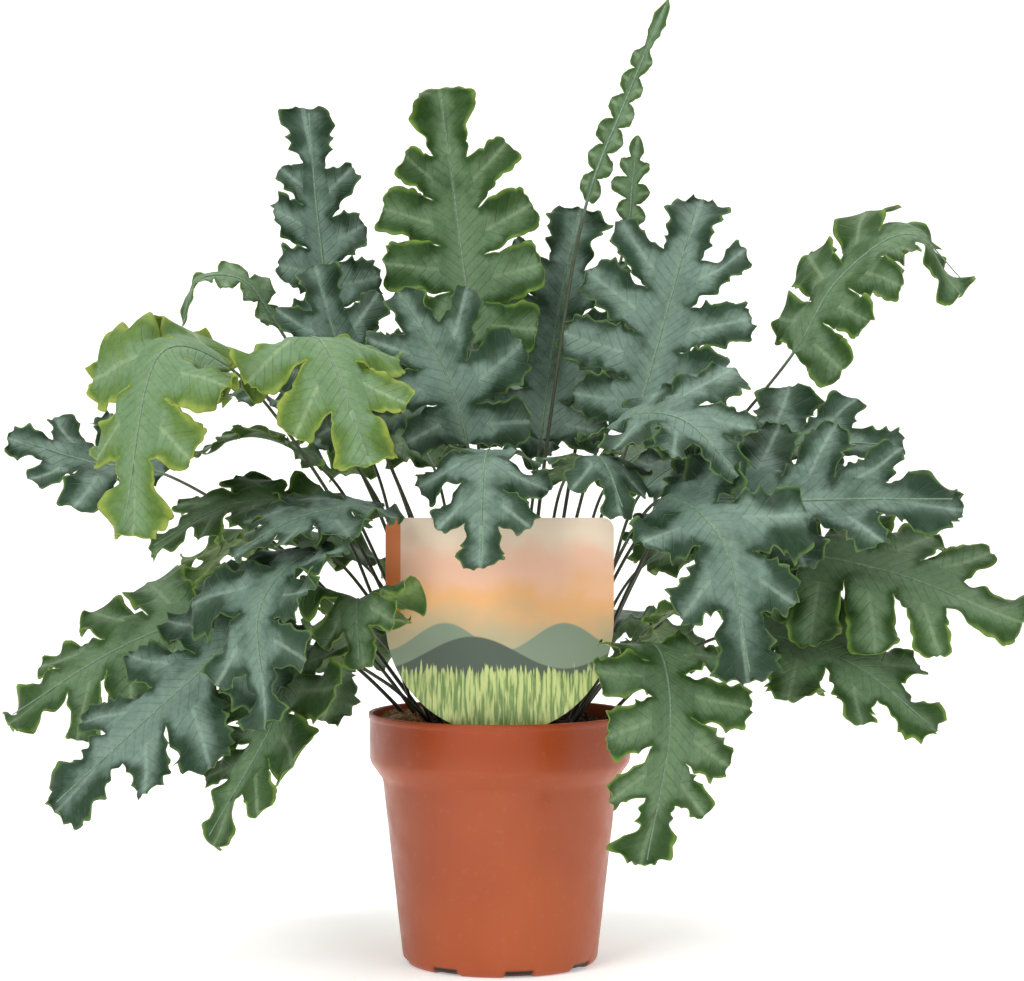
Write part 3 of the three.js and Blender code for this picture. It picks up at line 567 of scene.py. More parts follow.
def label_finish():
    """The print, from the point's own place on the card: a sky that runs from cream to apricot to rose, two rows
    of rounded hills, a field of upright grass strokes, and a plain orange band down the left edge."""
    material, tree, shader = new_material("label_print", "e8cbb0", 0.32)
    place = object_place(tree)
    split = add_node(tree, "ShaderNodeSeparateXYZ", {0: place})
    x, z = split.outputs["X"], split.outputs["Z"]
    drift = calc(tree, "MULTIPLY", calc(tree, "SUBTRACT", cloud(tree, place, 32, 3), 0.5), 0.035)
    high = calc(tree, "ADD", z, drift)
    sky = two_colors(tree, smooth_step(tree, high, 0.150, 0.172), paint("b7ab86"), paint("e9b074"))
    sky = two_colors(tree, smooth_step(tree, high, 0.168, 0.182), sky, paint("efbfa2"))
    sky = two_colors(tree, smooth_step(tree, high, 0.184, 0.200), sky, paint("f0dcc4"))
    for level, size, turns, code in ((0.152, 0.006, 120, "7f8f78"), (0.145, 0.007, 78, "4c5a4c")):
        wave = calc(tree, "SINE", calc(tree, "MULTIPLY", calc(tree, "ADD", x, level * 3), turns))
        crest = calc(tree, "ADD", calc(tree, "MULTIPLY", wave, size), level)
        under = smooth_step(tree, calc(tree, "SUBTRACT", crest, z), -0.0004, 0.0006)
        sky = two_colors(tree, under, sky, paint(code))
    stretched = add_node(tree, "ShaderNodeMapping", {"Vector": place, "Scale": (900, 900, 90)})
    strokes = add_node(tree, "ShaderNodeTexNoise", {"Vector": stretched.outputs[0], "Scale": 1, "Detail": 3}).outputs[0]
    grass = two_colors(tree, smooth_step(tree, strokes, 0.38, 0.62), paint("6f8c4a"), paint("c3cf84"))
    ragged = calc(tree, "MULTIPLY", calc(tree, "SUBTRACT", strokes, 0.5), 0.02)
    lawn = smooth_step(tree, calc(tree, "SUBTRACT", calc(tree, "ADD", ragged, 0.137), z), -0.001, 0.001)
    sky = two_colors(tree, lawn, sky, grass)
    stripe = smooth_step(tree, x, -0.0435, -0.0433, 1, 0)
    stripe = calc(tree, "MULTIPLY", stripe, smooth_step(tree, z, 0.160, 0.1602))
    sky = two_colors(tree, stripe, sky, paint("dd7a3a"))
    tree.links.new(sky, shader.inputs["Base Color"])
    use_bump(tree, shader, cloud(tree, place, 1200, 1), 0.00002)
    return material


label = closed_tube("plant_label", label_points(), smooth=False)
label.data.materials.append(label_finish())
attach(label, "root")
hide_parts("label")

# The fronds: each is a wiry stipe that stands in the soil and carries one leathery blade, cut almost to its rib
# into pairs of lobes with scalloped, ruffled edges. A waxy bloom whitens the blade along its ribs.
STIPE_FOOT = 97
STIPE_RADIUS = 1.1
KNEE_SHARE = 0.5
KNEE_RISE = 0.1
TIP_SHARE = 0.26
WEB_SHARE = 0.33
LEAN = (-10, 42)
STAGGER = 0.14
ROOM_SHARE = 0.49
LAST_ABOVE = 0.6
LENGTH_VARIES = 0.2
LIFT = 0.42
LIFT_DOWN = 0.62
EDGE_VARIES = 0.05
REACH_VARIES = 0.14
WAVE = 0.3
WAVE_STEP = 0.42
FULL_WAVE = 30
BLADE_HALF_THICK = 0.24
TOOTH_STEP = 7.2
RUFFLE_STEP = 20
BLADE_SWAY = 2.2
SWAY_STEP = 15
SWAY_FADE = 9
TUBE_SIDES = 8
OUTLINE = [0.76, 1, 0.98, 0.84, 0.68]
COLUMNS = np.array([-1, -0.93, -0.8, -0.6, -0.37, -0.15, 0, 0.15, 0.37, 0.6, 0.8, 0.93, 1])
MIDDLE = 6
# A lobe's cut edge: rows with their share of the way along its rib and along its edge and of the room beside
# the rib, how blunt its end is, and the height and roundness of its teeth.
POINTED = ([(0.38, 0.46, 1), (0.76, 0.84, 0.8)], 0.75, 3.4, 0)
ROUND = ([(0.4, 0.5, 1), (0.8, 0.88, 0.9)], 0.5, 2.4, 0.75)
SLIM = ([(0.5, 0.5, 0.8)], 0.9, 1.2, 0)
# Each frond: reach of its root from the pot's axis; compass angle, reach and height of its blade's base, middle
# and tip; heading; widest half-width; lobes a side; cut; cup, curl and roll in degrees; colour.
FRONDS = [
    # Tall ones that stand behind the middle.
    (14, [(155, 84, 282), (151, 98, 338), (148, 108, 398)], 115, 26, 4, POINTED, 8, 10, 0, "blue"),
    (8, [(126, 22, 282), (127, 33, 340), (145, 34, 400)], 100, 38, 4, ROUND, 12, 16, 0, "green"),
    (10, [(62, 40, 238), (64, 60, 292), (60, 76, 350)], 85, 42, 4, POINTED, 10, 14, 0, "blue"),
    (20, [(5, 60, 240), (13, 78, 294), (20, 99, 353)], 75, 44, 4, POINTED, 10, 10, 0, "blue"),
    (26, [(4, 135, 278), (2, 155, 312), (0, 186, 332), (358, 212, 308)], 2, 36, 4, ROUND, -5, -10, 30, "green"),
    # The right side.
    (30, [(353, 90, 222), (351, 135, 236), (350, 182, 236)], 351, 34, 3, POINTED, 6, 10, 45, "blue"),
    (18, [(335, 82, 207), (336, 147, 212), (339, 212, 213)], 336, 42, 4, POINTED, 6, -6, 50, "blue"),
    (24, [(347, 119, 186), (346, 177, 180), (347, 234, 157)], 346, 44, 4, ROUND, 0, -20, 45, "green"),
    (36, [(343, 110, 152), (341, 160, 142), (342, 200, 112)], 341, 38, 3, POINTED, 0, -10, 35, "green"),
    (34, [(316, 92, 150), (308, 118, 124), (303, 114, 58)], 300, 36, 4, POINTED, 5, 5, 0, "green"),
    (24, [(319, 92, 212), (313, 137, 196), (313, 154, 138)], 313, 38, 3, POINTED, 5, 0, 30, "blue"),
    (30, [(326, 84, 158), (323, 108, 172), (321, 134, 162)], 323, 26, 3, POINTED, 0, 0, 15, "green"),
    (12, [(326, 60, 244), (322, 98, 248), (322, 130, 224)], 322, 38, 3, POINTED, 5, 0, 25, "blue"),
    # Over the label and before the middle.
    (14, [(264, 38, 232), (264, 64, 228), (265, 92, 184)], 264, 32, 3, POINTED, -5, -10, 0, "blue"),
    (20, [(303, 52, 220), (302, 81, 231), (300, 106, 208)], 302, 26, 3, POINTED, -5, -10, 0, "blue"),
    (7, [(226, 21, 236), (218, 32, 270), (198, 48, 305)], 100, 38, 3, POINTED, 5, 10, 0, "blue"),
    (10, [(178, 56, 240), (176, 73, 278), (172, 86, 318)], 110, 34, 3, POINTED, 5, 10, 0, "blue"),
    # The left side.
    (22, [(197, 125, 270), (203, 158, 277), (210, 184, 200)], 203, 42, 3, ROUND, -5, -20, -30, "yellow"),
    (13, [(202, 96, 270), (220, 102, 282), (240, 108, 228)], 280, 36, 3, ROUND, -5, -20, 0, "yellow"),
    (24, [(169, 160, 222), (171, 195, 228), (174, 230, 240)], 171, 32, 3, POINTED, 5, 5, -40, "blue"),
    (18, [(168, 105, 290), (172, 120, 312), (176, 138, 312), (179, 146, 290)], 172, 12, 4, SLIM, 0, 0, -30, "green"),
    (24, [(182, 80, 224), (180, 112, 240), (179, 148, 228)], 180, 28, 3, POINTED, 5, 5, 0, "green"),
    (28, [(199, 99, 168), (204, 147, 134), (201, 207, 80)], 204, 40, 4, POINTED, 0, -15, -35, "blue"),
    (28.5, [(176, 119, 160), (180, 168, 146), (183, 224, 112)], 180, 44, 4, ROUND, 0, -15, -38, "green"),
    (26, [(222, 105, 190), (224, 140, 168), (231, 150, 118)], 224, 38, 3, POINTED, 5, 0, 0, "blue"),
    (22, [(211, 99, 146), (219, 128, 112), (216, 154, 68)], 219, 38, 4, ROUND, 0, 0, 0, "green"),
    (17, [(219, 66, 206), (217, 104, 206), (214, 138, 190)], 217, 34, 3, POINTED, 0, 0, -10, "blue"),
    (33, [(222, 76, 156), (231, 97, 170), (238, 112, 144)], 231, 30, 3, ROUND, 5, 0, 0, "green"),
    # The long wiry one and a small young leaf.
    (6, [(350, 40, 346), (355, 58, 394), (0, 77, 440)], 90, 7, 6, SLIM, 0, 0, 0, "green"),
    (20, [(48, 92, 342), (48, 94, 358), (46, 95, 384)], 90, 10, 3, SLIM, 0, 0, 0, "green"),
    # The back.
    (26, [(25, 75, 180), (25, 130, 192), (25, 185, 150)], 25, 36, 3, POINTED, 0, -10, 0, "green"),
    (26, [(57, 75, 150), (57, 130, 150), (57, 180, 95)], 57, 36, 3, POINTED, 0, -10, 0, "blue"),
    (26, [(90, 75, 180), (90, 130, 192), (90, 185, 140)], 90, 36, 3, POINTED, 0, -10, 0, "green"),
    (26, [(121, 75, 150), (121, 130, 150), (121, 180, 95)], 121, 36, 3, POINTED, 0, -10, 0, "blue"),
    (26, [(150, 75, 180), (150, 130, 196), (150, 185, 160)], 150, 36, 3, POINTED, 0, -10, 0, "green"),
    (18, [(88, 60, 235), (88, 100, 270), (88, 150, 245)], 88, 34, 3, POINTED, 0, -10, 0, "blue"),
    (18, [(122, 60, 225), (122, 100, 250), (122, 150, 225)], 122, 34, 3, POINTED, 0, -10, 0, "green"),
    # Shorter ones that fill the mass between the tall and the hanging ones.
    (32, [(155, 70, 235), (155, 105, 262), (155, 145, 262)], 155, 32, 3, POINTED, 5, -5, -20, "blue"),
    (34, [(18, 70, 215), (18, 105, 232), (18, 140, 225)], 18, 26, 3, POINTED, 5, -5, 20, "blue"),
    (34, [(45, 70, 215), (45, 110, 235), (45, 150, 215)], 45, 32, 3, POINTED, 5, -5, 0, "green"),
    (34, [(192, 80, 205), (192, 120, 210), (192, 160, 190)], 192, 32, 3, POINTED, 5, -5, -20, "green"),
]


def drawn(a, b):
    """A repeatable number from 0 to 1: the fraction of a large multiple of the sine of a mix of a and b."""
    x = np.sin(a * 127.1 + b * 311.7 + 11.3) * 43758.5453
    return float(x - np.floor(x))


def compass(azimuth, reach, height):
    """The point at a compass angle in degrees, a reach from the pot's axis and a height."""
    return np.array([reach * np.cos(np.radians(azimuth)), reach * np.sin(np.radians(azimuth)), height])


def rib_of(root, places, heading, roll):
    """A frond's rib: the smooth line from its root in the soil through a knee half way to the blade, then
    through the blade's base, middle and tip. Gives the line, its distances, where the blade starts, the level
    direction across the heading, and the roll."""
    start = compass(places[0][0], root, STIPE_FOOT)
    stops = [compass(*p) for p in places]
    knee = start + (stops[0] - start) * KNEE_SHARE
    knee[2] += KNEE_RISE * np.linalg.norm(stops[0] - start)
    line, distances = smooth_line([start, knee, *stops])
    across = np.array([-np.sin(np.radians(heading)), np.cos(np.radians(heading)), 0])
    blade = distances[2 * LINE_STEPS]
    return {"line": line, "far": distances, "blade": blade, "across": across, "roll": np.radians(roll)}


def rib_frames(rib, s):
    """The point on the rib at distance s, the direction across the blade and the direction out of its upper
    face: across is made square to the rib and turned about it by the roll, and up is along times across."""
    within = np.clip(s, 0, rib["far"][-1])
    along = unit(at_distance(np.gradient(rib["line"], rib["far"], axis=0), rib["far"], within))
    point = at_distance(rib["line"], rib["far"], within) + along * (s - within)[:, None]
    side = unit(rib["across"] - along * (along @ rib["across"])[:, None])
    side = side * np.cos(rib["roll"]) + np.cross(along, side) * np.sin(rib["roll"])
    return point, side, np.cross(along, side)


def bent(rib, s, w, z, cup, curl, width):
    """Carries the flat blade's points (s along the rib, w across it, z above it) into place, after a slow
    undulation, smooth noise that dies out by the rib, is added to z. Each side of the blade turns up by the
    angle cup and then curls at an even rate by its edge: the chord of that arc has length w sin(h) / h and lies
    at cup + h, where h is half the curl."""
    point, side, up = rib_frames(rib, s)
    out = np.abs(w)
    sway_seed = int(width * 7 + s[0]) % 50 + 60
    z = z + BLADE_SWAY * patchy(s, w, SWAY_STEP, sway_seed) * np.clip(out / SWAY_FADE, 0, 1)
    tilt = np.radians(cup) * out / (out + 2)
    half = np.radians(curl) / width * out / 2
    chord = out * np.sinc(half / np.pi)
    turn = tilt + 2 * half
    aside = np.sign(w) * (chord * np.cos(tilt + half) - z * np.sin(turn))
    return point + side * aside[:, None] + up * (chord * np.sin(tilt + half) + z * np.cos(turn))[:, None]


def through(knots, after, steps):
    """A Catmull-Rom curve through rows of knots, steps[i] points to each stretch: the cubic between two knots
    whose slopes are half the differences of their neighbours. after is the knot that follows the last one."""
    k = np.concatenate([[2 * knots[0] - knots[1]], knots, [after]])
    parts = []
    for i, n in enumerate(steps):
        x = (np.arange(n) / n)[:, None]
        a, b, c, d = k[i : i + 4]
        parts.append(b + (c - a) / 2 * x + (a - 2.5 * b + 2 * c - d / 2) * x**2 + (1.5 * (b - c) + (d - a) / 2) * x**3)
    return np.concatenate(parts)


def edge_relief(edge, hand, seed, broad, tall, soft):
    """What is added to a lobe's edge, by the distance gone along it. Teeth push it outwards and towards the tip:
    each is 1 - |sin| of its turn for a sharp tooth or |sin| for a round one, and has a height of its own. A
    ruffle, the sum of a long and a short wave, lifts it. Both fade out at the web and at the lobe's tip."""
    step = np.diff(edge[:, :2], axis=0)
    far = np.concatenate([[0], np.cumsum(np.linalg.norm(step, axis=1))])
    forward = np.gradient(edge[:, :2], axis=0)
    forward /= np.maximum(np.linalg.norm(forward, axis=1, keepdims=True), 1e-6)
    outward = np.column_stack([-forward[:, 1], forward[:, 0]]) * hand
    fade = np.clip(far / 6, 0, 1) * np.clip((far[-1] - far) / 3, 0, 1)
    turns = far / (TOOTH_STEP * (0.85 + 0.4 * drawn(seed, 32))) + drawn(seed, 33) + 0.22 * np.sin(far / 5 + seed)
    wave = np.abs(np.sin(np.pi * turns))
    tooth = soft * wave + (1 - soft) * (1 - wave)
    own = np.sin(np.floor(turns + 0.5 * (1 - soft)) * 12.99 + seed) * 4375.85
    size = min(tall, 0.24 * broad) * (0.55 + 0.75 * (own - np.floor(own))) * fade
    push = (outward * (tooth - 0.38)[:, None] + forward * (0.45 * tooth)[:, None]) * size[:, None]
    beat = 2 * np.pi * (far / (RUFFLE_STEP * (0.8 + 0.5 * drawn(seed, 34))) + drawn(seed, 35))
    lift = min(3.8, 0.24 * broad) * (np.sin(beat) + 0.22 * np.sin(2.6 * beat + seed)) * fade
    return push, lift


def lobe_grid(base, lean, length, room, above, cut, seed, side):
    """One lobe as a grid: rows run out along its own rib to its tip and columns run across it from its lower edge
    to its upper one. Both edges and the rib are smooth curves through the cut's knots; the lobe's first row is
    the stretch of web that it grows from, and its end is a curve v (1 - x x) to the power blunt."""
    knots, blunt, tall, soft = cut
    origin = base[MIDDLE]
    along, out = np.sin(lean), np.cos(lean)
    d = base - origin
    first = np.column_stack([d[:, 0] * along + side * d[:, 1] * out, d[:, 0] * out - side * d[:, 1] * along,
                             np.zeros(len(base))])
    lift = (drawn(seed, 1) - LIFT_DOWN) * LIFT
    wave = WAVE * min(1, length / FULL_WAVE)
    rib = np.array([(0, 0, 0)] + [(r * length, 0, lift * r * length) for r, _, _ in knots])
    tip = np.array([length, 0, lift * length])
    edges = []
    for j, corner in enumerate((first[0], first[-1])):
        rows = [corner]
        for i, (_, edge, reach) in enumerate(knots):
            share = edge + EDGE_VARIES * (drawn(seed, 10 + 2 * i + j) - 0.5)
            u = corner[0] + (length - corner[0]) * share
            v = (above if j else -1) * reach * room(max(u, 0)) * (1 - REACH_VARIES * drawn(seed, 20 + 2 * i + j))
            turn = 2 * np.pi * (WAVE_STEP * i + drawn(seed, 2 + j))
            rows.append((u, v, lift * u + wave * abs(v) * np.sin(turn)))
        edges.append(np.array(rows))
    steps = [int(np.clip(np.ceil(max(np.linalg.norm(e[i + 1] - e[i]) for e in edges) / 1.25), 4, 22))
             for i in range(len(knots))]
    last = int(np.clip(np.ceil(max(np.linalg.norm(tip - e[-1]) for e in edges) / 1.2), 4, 18))
    x = np.sin(np.linspace(0, np.pi / 2, last + 1))[:, None]
    curves = []
    for e in edges:
        end = e[-1] + (tip - e[-1]) * x
        end[:, 1] = e[-1][1] * (1 - x[:, 0] ** 2) ** blunt
        curves.append(np.concatenate([through(e, tip, steps), end]))
    middle = np.concatenate([through(rib, tip, steps), rib[-1] + (tip - rib[-1]) * x])
    broad = max(np.abs(e[:, 1]).max() for e in edges)
    grid = np.zeros((len(middle), len(COLUMNS), 3))
    for hand, curve, columns in ((-1, curves[0], slice(0, MIDDLE)), (1, curves[1], slice(MIDDLE, None))):
        c = np.abs(COLUMNS[columns])[:, None]
        grid[:, columns] = middle[:, None] + (curve - middle)[:, None] * c
        push, ruffle = edge_relief(curve, hand, seed + 0.5 * hand, broad, tall, soft)
        grid[:, columns, :2] += push[:, None] * c**4
        grid[:, columns, 2] += ruffle[:, None] * c[:, 0] ** 2
    from_base = np.concatenate([np.arange(steps[0]) / steps[0], np.ones(len(middle) - steps[0])])
    settle = from_base**2 * (3 - 2 * from_base)
    corner = np.where(COLUMNS[:, None] < 0, first[0], first[-1]) * np.abs(COLUMNS)[:, None]
    grid += (first - corner) * (1 - settle)[:, None, None]
    near_tip = np.clip((length - middle[:, 0]) / 6, 0, 1)
    grid[..., 2] -= (0.55 * np.exp(-((grid[..., 1] / 1.8) ** 2))) * (settle * near_tip)[:, None]
    inner = np.concatenate([np.zeros(len(middle) - last - 1), x[:, 0]])
    margin = np.maximum(np.abs(COLUMNS) ** (1 + 3 * (1 - settle[:, None])), inner[:, None] ** 3)
    s = origin[0] + grid[..., 0] * along + grid[..., 1] * out
    w = origin[1] + side * (grid[..., 0] * out - grid[..., 1] * along)
    s[0], w[0], grid[0, :, 2] = base[:, 0], base[:, 1], 0
    return {"s": s, "w": w, "z": grid[..., 2], "across": grid[..., 1], "out": grid[..., 0], "margin": margin}


def flat_frond(width, count, cut, length, start, seed):
    """A frond's blade cut flat: the web along its rib, a lobe on each side of every stretch of web, and the lobe
    at its tip. The web's half-width is a quadratic through its values at both ends and the middle."""
    blade = length - start
    pitch = blade * (1 - TIP_SHARE) / count
    fan = np.radians(LEAN[1] - LEAN[0]) / max(count - 1, 1)
    grids = []
    half_before, slant_before = STIPE_RADIUS, 0
    x = (COLUMNS + 1) / 2
    for i in range(count):
        share = i / (count - 1) if count > 1 else 0.5
        web = WEB_SHARE * width * np.sin(np.pi * (0.2 + 0.6 * ((i + 0.5) / count)))
        slant = (1 if i + 1 < count else 0.4) * STAGGER * pitch
        half = half_before * (1 - x) * (1 - 2 * x) + 4 * web * x * (1 - x) + 0.85 * web * x * (2 * x - 1)
        shift = slant_before + (slant - slant_before) * np.clip(2 * x, 0, 1)
        s = start + pitch * (i + x)[:, None] + shift[:, None] * COLUMNS
        w = half[:, None] * COLUMNS
        groove = -0.7 * np.exp(-((w / 1.6) ** 2)) * (np.abs(COLUMNS) < 1) * np.clip((s - start) / 5, 0, 1)
        margin = np.abs(COLUMNS) ** 3 * (np.abs(COLUMNS) ** 4)[:, None]
        grids.append({"s": s, "w": w, "z": groove, "across": w, "out": s, "margin": margin})
        lean = np.radians(LEAN[0] + (LEAN[1] - LEAN[0]) * share) * min(1, width / pitch)
        outline = np.interp(share * (len(OUTLINE) - 1), range(len(OUTLINE)), OUTLINE)
        for side, k in ((-1, 0), (1, -1)):
            lobe_seed = seed * 40 + i * 2 + side
            vary = 1 + LENGTH_VARIES * (drawn(lobe_seed, 5) - 0.5)
            grids.append(lobe_grid(
                np.column_stack([s[:, k], w[:, k]]), lean, (outline * width * vary - web) / np.cos(lean),
                lambda u, lean=lean: ROOM_SHARE * (pitch * np.cos(lean) + u * fan),
                1 if i + 1 < count else LAST_ABOVE, cut, lobe_seed, side))
        half_before, slant_before = 0.85 * web, slant
    tip_base = np.column_stack([s[-1], w[-1]])
    tip_room = lambda u: min(0.22 * pitch + 0.5 * u, 0.6 * width)
    grids.append(lobe_grid(tip_base, np.pi / 2, blade * TIP_SHARE, tip_room, 1, cut, seed * 40 + 39, -1))
    grids[-1]["z"][0] = grids[-4]["z"][-1]
    return grids


def joined(grids):
    """Puts a frond's grids together: points that lie on one another become one, and every face is turned so
    that the upper side is the same. Gives the points, four- and three-sided faces and each face corner's place
    along and across the rib it lies by."""
    names = ("s", "w", "z", "across", "out", "margin")
    loose = {n: np.concatenate([np.broadcast_to(g[n], g["s"].shape).ravel() for g in grids]) for n in names}
    faces, offset = [], 0
    for g in grids:
        f = grid_faces(*g["s"].shape) + offset
        p, q, r = (np.column_stack([loose["s"][f[:, k]], loose["w"][f[:, k]]]) for k in (0, 1, 2))
        area = (q - p)[:, 0] * (r - p)[:, 1] - (q - p)[:, 1] * (r - p)[:, 0]
        faces.append(f if area.sum() > 0 else f[:, [1, 0, 3, 2]])
        offset += g["s"].size
    faces = np.concatenate(faces)
    key = np.round(np.column_stack([loose[n] for n in ("s", "w", "z")]), 3)
    _, first, number = np.unique(key, axis=0, return_index=True, return_inverse=True)
    number = number.ravel()
    points = {n: loose[n][first] for n in names}
    here = number[faces]
    whole = (here[:, 2] != here[:, 3]) & (here[:, 0] != here[:, 1])
    ended = (here[:, 2] == here[:, 3]) & (here[:, 0] != here[:, 1])
    place = np.column_stack([loose["across"], loose["out"]])
    quads, thirds = faces[whole], faces[ended][:, :3]
    return points, number[quads], number[thirds], place[quads], place[thirds]


def rib_tube(rib, length, start):
    """The stipe and the rib that it runs on into: a ring of points carried along the rib, thinner towards the
    tip, and set under the blade where there is one. Gives its points, faces and each point's distance."""
    s = np.linspace(0, length * 0.985, max(24, int(length / 3)))
    point, side, up = rib_frames(rib, s)
    radius = np.interp(s, [0, start, length], [1.0, 0.7, 0.25])
    under = 0.55 * radius * np.clip((s - start) / 6, 0, 1)
    turn = np.linspace(0, 2 * np.pi, TUBE_SIDES, endpoint=False)
    ring = side[:, None] * np.cos(turn)[:, None] + up[:, None] * np.sin(turn)[:, None]
    points = point[:, None] - up[:, None] * under[:, None, None] + ring * radius[:, None, None]
    faces = grid_faces(len(s), TUBE_SIDES, around=True)
    return points.reshape(-1, 3), faces, np.repeat(s, TUBE_SIDES)


def frond_piece(name, row, seed):
    """One frond as a closed mesh. The joined grids are bent along the rib, then doubled along their normals to
    give the blade its thickness, with a narrow wall round its edge; the stipe is a tube of its own."""
    root, places, heading, width, count, cut, cup, curl, roll, _ = row
    rib = rib_of(root, places, heading, roll)
    length, start = rib["far"][-1], rib["blade"]
    flat, quads, thirds, quad_places, third_places = joined(flat_frond(width, count, cut, length, start, seed))
    middle = bent(rib, flat["s"], flat["w"], flat["z"], cup, curl, width)
    normal = np.zeros_like(middle)
    for faces, a, b, c, d in ((quads, 0, 2, 1, 3), (thirds, 0, 1, 0, 2)):
        turn = np.cross(middle[faces[:, b]] - middle[faces[:, a]], middle[faces[:, d]] - middle[faces[:, c]])
        for k in range(faces.shape[1]):
            np.add.at(normal, faces[:, k], turn)
    normal = unit(normal)
    thick = BLADE_HALF_THICK * (1 - 0.35 * flat["margin"])[:, None]
    n = len(middle)
    sides_of = np.concatenate([quads[:, [0, 1]], quads[:, [1, 2]], quads[:, [2, 3]], quads[:, [3, 0]],
                               thirds[:, [0, 1]], thirds[:, [1, 2]], thirds[:, [2, 0]]])
    code = sides_of[:, 0] * n + sides_of[:, 1]
    rim = sides_of[~np.isin(code, sides_of[:, 1] * n + sides_of[:, 0])]
    wall = np.column_stack([rim[:, 1], rim[:, 0], rim[:, 0] + n, rim[:, 1] + n])
    tube, tube_faces, tube_s = rib_tube(rib, length, start)
    ring = np.arange(TUBE_SIDES) + 2 * n
    caps = [ring[::-1], ring + len(tube) - TUBE_SIDES]
    points = np.concatenate([middle + normal * thick, middle - normal * thick, tube])
    fours = [quads, quads[:, ::-1] + n, wall, tube_faces + 2 * n]
    threes = [thirds, thirds[:, ::-1] + n]
    corners = np.concatenate([f.ravel() for f in fours + threes] + caps)
    counts = [len(f) for f in fours + threes] + [1, 1]
    sides = np.repeat([4, 4, 4, 4, 3, 3, TUBE_SIDES, TUBE_SIDES], counts)
    piece = make_piece(name, points, corners, sides, np.repeat([True, True, False, True, True, True, False, False],
                                                               counts))
    piece.data.polygons.foreach_set("material_index", np.repeat([0, 1, 0, 2, 0, 1, 2, 2], counts).astype(np.int32))
    point_place = np.column_stack([np.concatenate([flat["across"], flat["across"], 0 * tube_s]),
                                   np.concatenate([flat["out"], flat["out"], tube_s])])
    corner_places = np.concatenate([
        quad_places.reshape(-1, 2), quad_places[:, ::-1].reshape(-1, 2), point_place[wall.ravel()],
        point_place[(tube_faces + 2 * n).ravel()], third_places.reshape(-1, 2),
        third_places[:, ::-1].reshape(-1, 2), point_place[np.concatenate(caps)]])
    uv = piece.data.uv_layers.new(name="ribs")
    uv.uv.foreach_set("vector", (corner_places * 0.01).astype(np.float32).ravel())
    give_value(piece, "margin", np.concatenate([flat["margin"], flat["margin"], 0 * tube_s]))
    give_value(piece, "ripe", np.concatenate([np.ones(2 * n), np.clip(tube_s / start, 0, 1.3)]))
    return piece


def leaf_pattern():
    """The blade's own pattern as a node group. Its heart colour lies in patches along the ribs and fades to the
    body colour, the margin colour runs round the edge, pale lines follow the ribs and fine side veins branch
    from them."""
    tree = bpy.data.node_groups.new("leaf_pattern", "ShaderNodeTree")
    for socket in ("Heart", "Body", "Margin", "Rib"):
        tree.interface.new_socket(name=socket, in_out="INPUT", socket_type="NodeSocketColor")
    for socket in ("Margin Width", "Rib Strength"):
        tree.interface.new_socket(name=socket, in_out="INPUT", socket_type="NodeSocketFloat")
    tree.interface.new_socket(name="Color", in_out="OUTPUT", socket_type="NodeSocketColor")
    for socket in ("Roughness", "Height"):
        tree.interface.new_socket(name=socket, in_out="OUTPUT", socket_type="NodeSocketFloat")
    given = tree.nodes.new("NodeGroupInput")
    place = object_place(tree)
    ribs = add_node(tree, "ShaderNodeSeparateXYZ", {0: add_node(tree, "ShaderNodeUVMap", uv_map="ribs").outputs[0]})
    across = calc(tree, "ABSOLUTE", ribs.outputs["X"])
    out = ribs.outputs["Y"]
    margin = add_node(tree, "ShaderNodeAttribute", attribute_name="margin").outputs["Fac"]
    patch = cloud(tree, place, 70, 4, 0.6)
    fine = cloud(tree, place, 420, 3, 0.6)
    region = calc(tree, "ADD", patch, cloud(tree, place, 16, 2))
    spread = calc(tree, "ADD", margin, calc(tree, "MULTIPLY", calc(tree, "SUBTRACT", region, 1.0), 1.5))
    color = two_colors(tree, smooth_step(tree, spread, -0.15, 0.6), given.outputs["Heart"], given.outputs["Body"])
    slope = calc(tree, "SUBTRACT", out, calc(tree, "MULTIPLY", across, 0.85))
    beat = calc(tree, "ABSOLUTE", calc(tree, "SUBTRACT", calc(tree, "FRACT", calc(tree, "MULTIPLY", slope, 19)), 0.5))
    vein = calc(tree, "MULTIPLY", smooth_step(tree, beat, 0.40, 0.5), smooth_step(tree, margin, 0.55, 0.95, 1, 0))
    line = smooth_step(tree, across, 0.004, 0.013, 1, 0)
    glow = smooth_step(tree, across, 0.0, 0.075, 1, 0)
    pale = calc(tree, "ADD", calc(tree, "MULTIPLY", line, 0.6), calc(tree, "MULTIPLY", glow, 0.28))
    pale = calc(tree, "ADD", pale, calc(tree, "MULTIPLY", vein, 0.16))
    pale = calc(tree, "MULTIPLY", pale, given.outputs["Rib Strength"])
    color = two_colors(tree, calc(tree, "MINIMUM", pale, 1.0), color, given.outputs["Rib"])
    low = calc(tree, "SUBTRACT", 1.0, given.outputs["Margin Width"])
    rim = smooth_step(tree, margin, low, 1.0)
    rim = calc(tree, "MULTIPLY", rim, smooth_step(tree, patch, 0.25, 0.6, 0.35, 0.95))
    color = two_colors(tree, rim, color, given.outputs["Margin"])
    tint = add_node(tree, "ShaderNodeHueSaturation", {"Value": smooth_step(tree, fine, 0.25, 0.75, 0.86, 1.1),
                    "Color": color})
    rough = smooth_step(tree, patch, 0.3, 0.7, 0.5, 0.66)
    height = calc(tree, "ADD", calc(tree, "MULTIPLY", vein, -0.5), calc(tree, "MULTIPLY", fine, 0.35))
    given_out = tree.nodes.new("NodeGroupOutput")
    tree.links.new(tint.outputs[0], given_out.inputs["Color"])
    tree.links.new(rough, given_out.inputs["Roughness"])
    tree.links.new(height, given_out.inputs["Height"])
    return tree


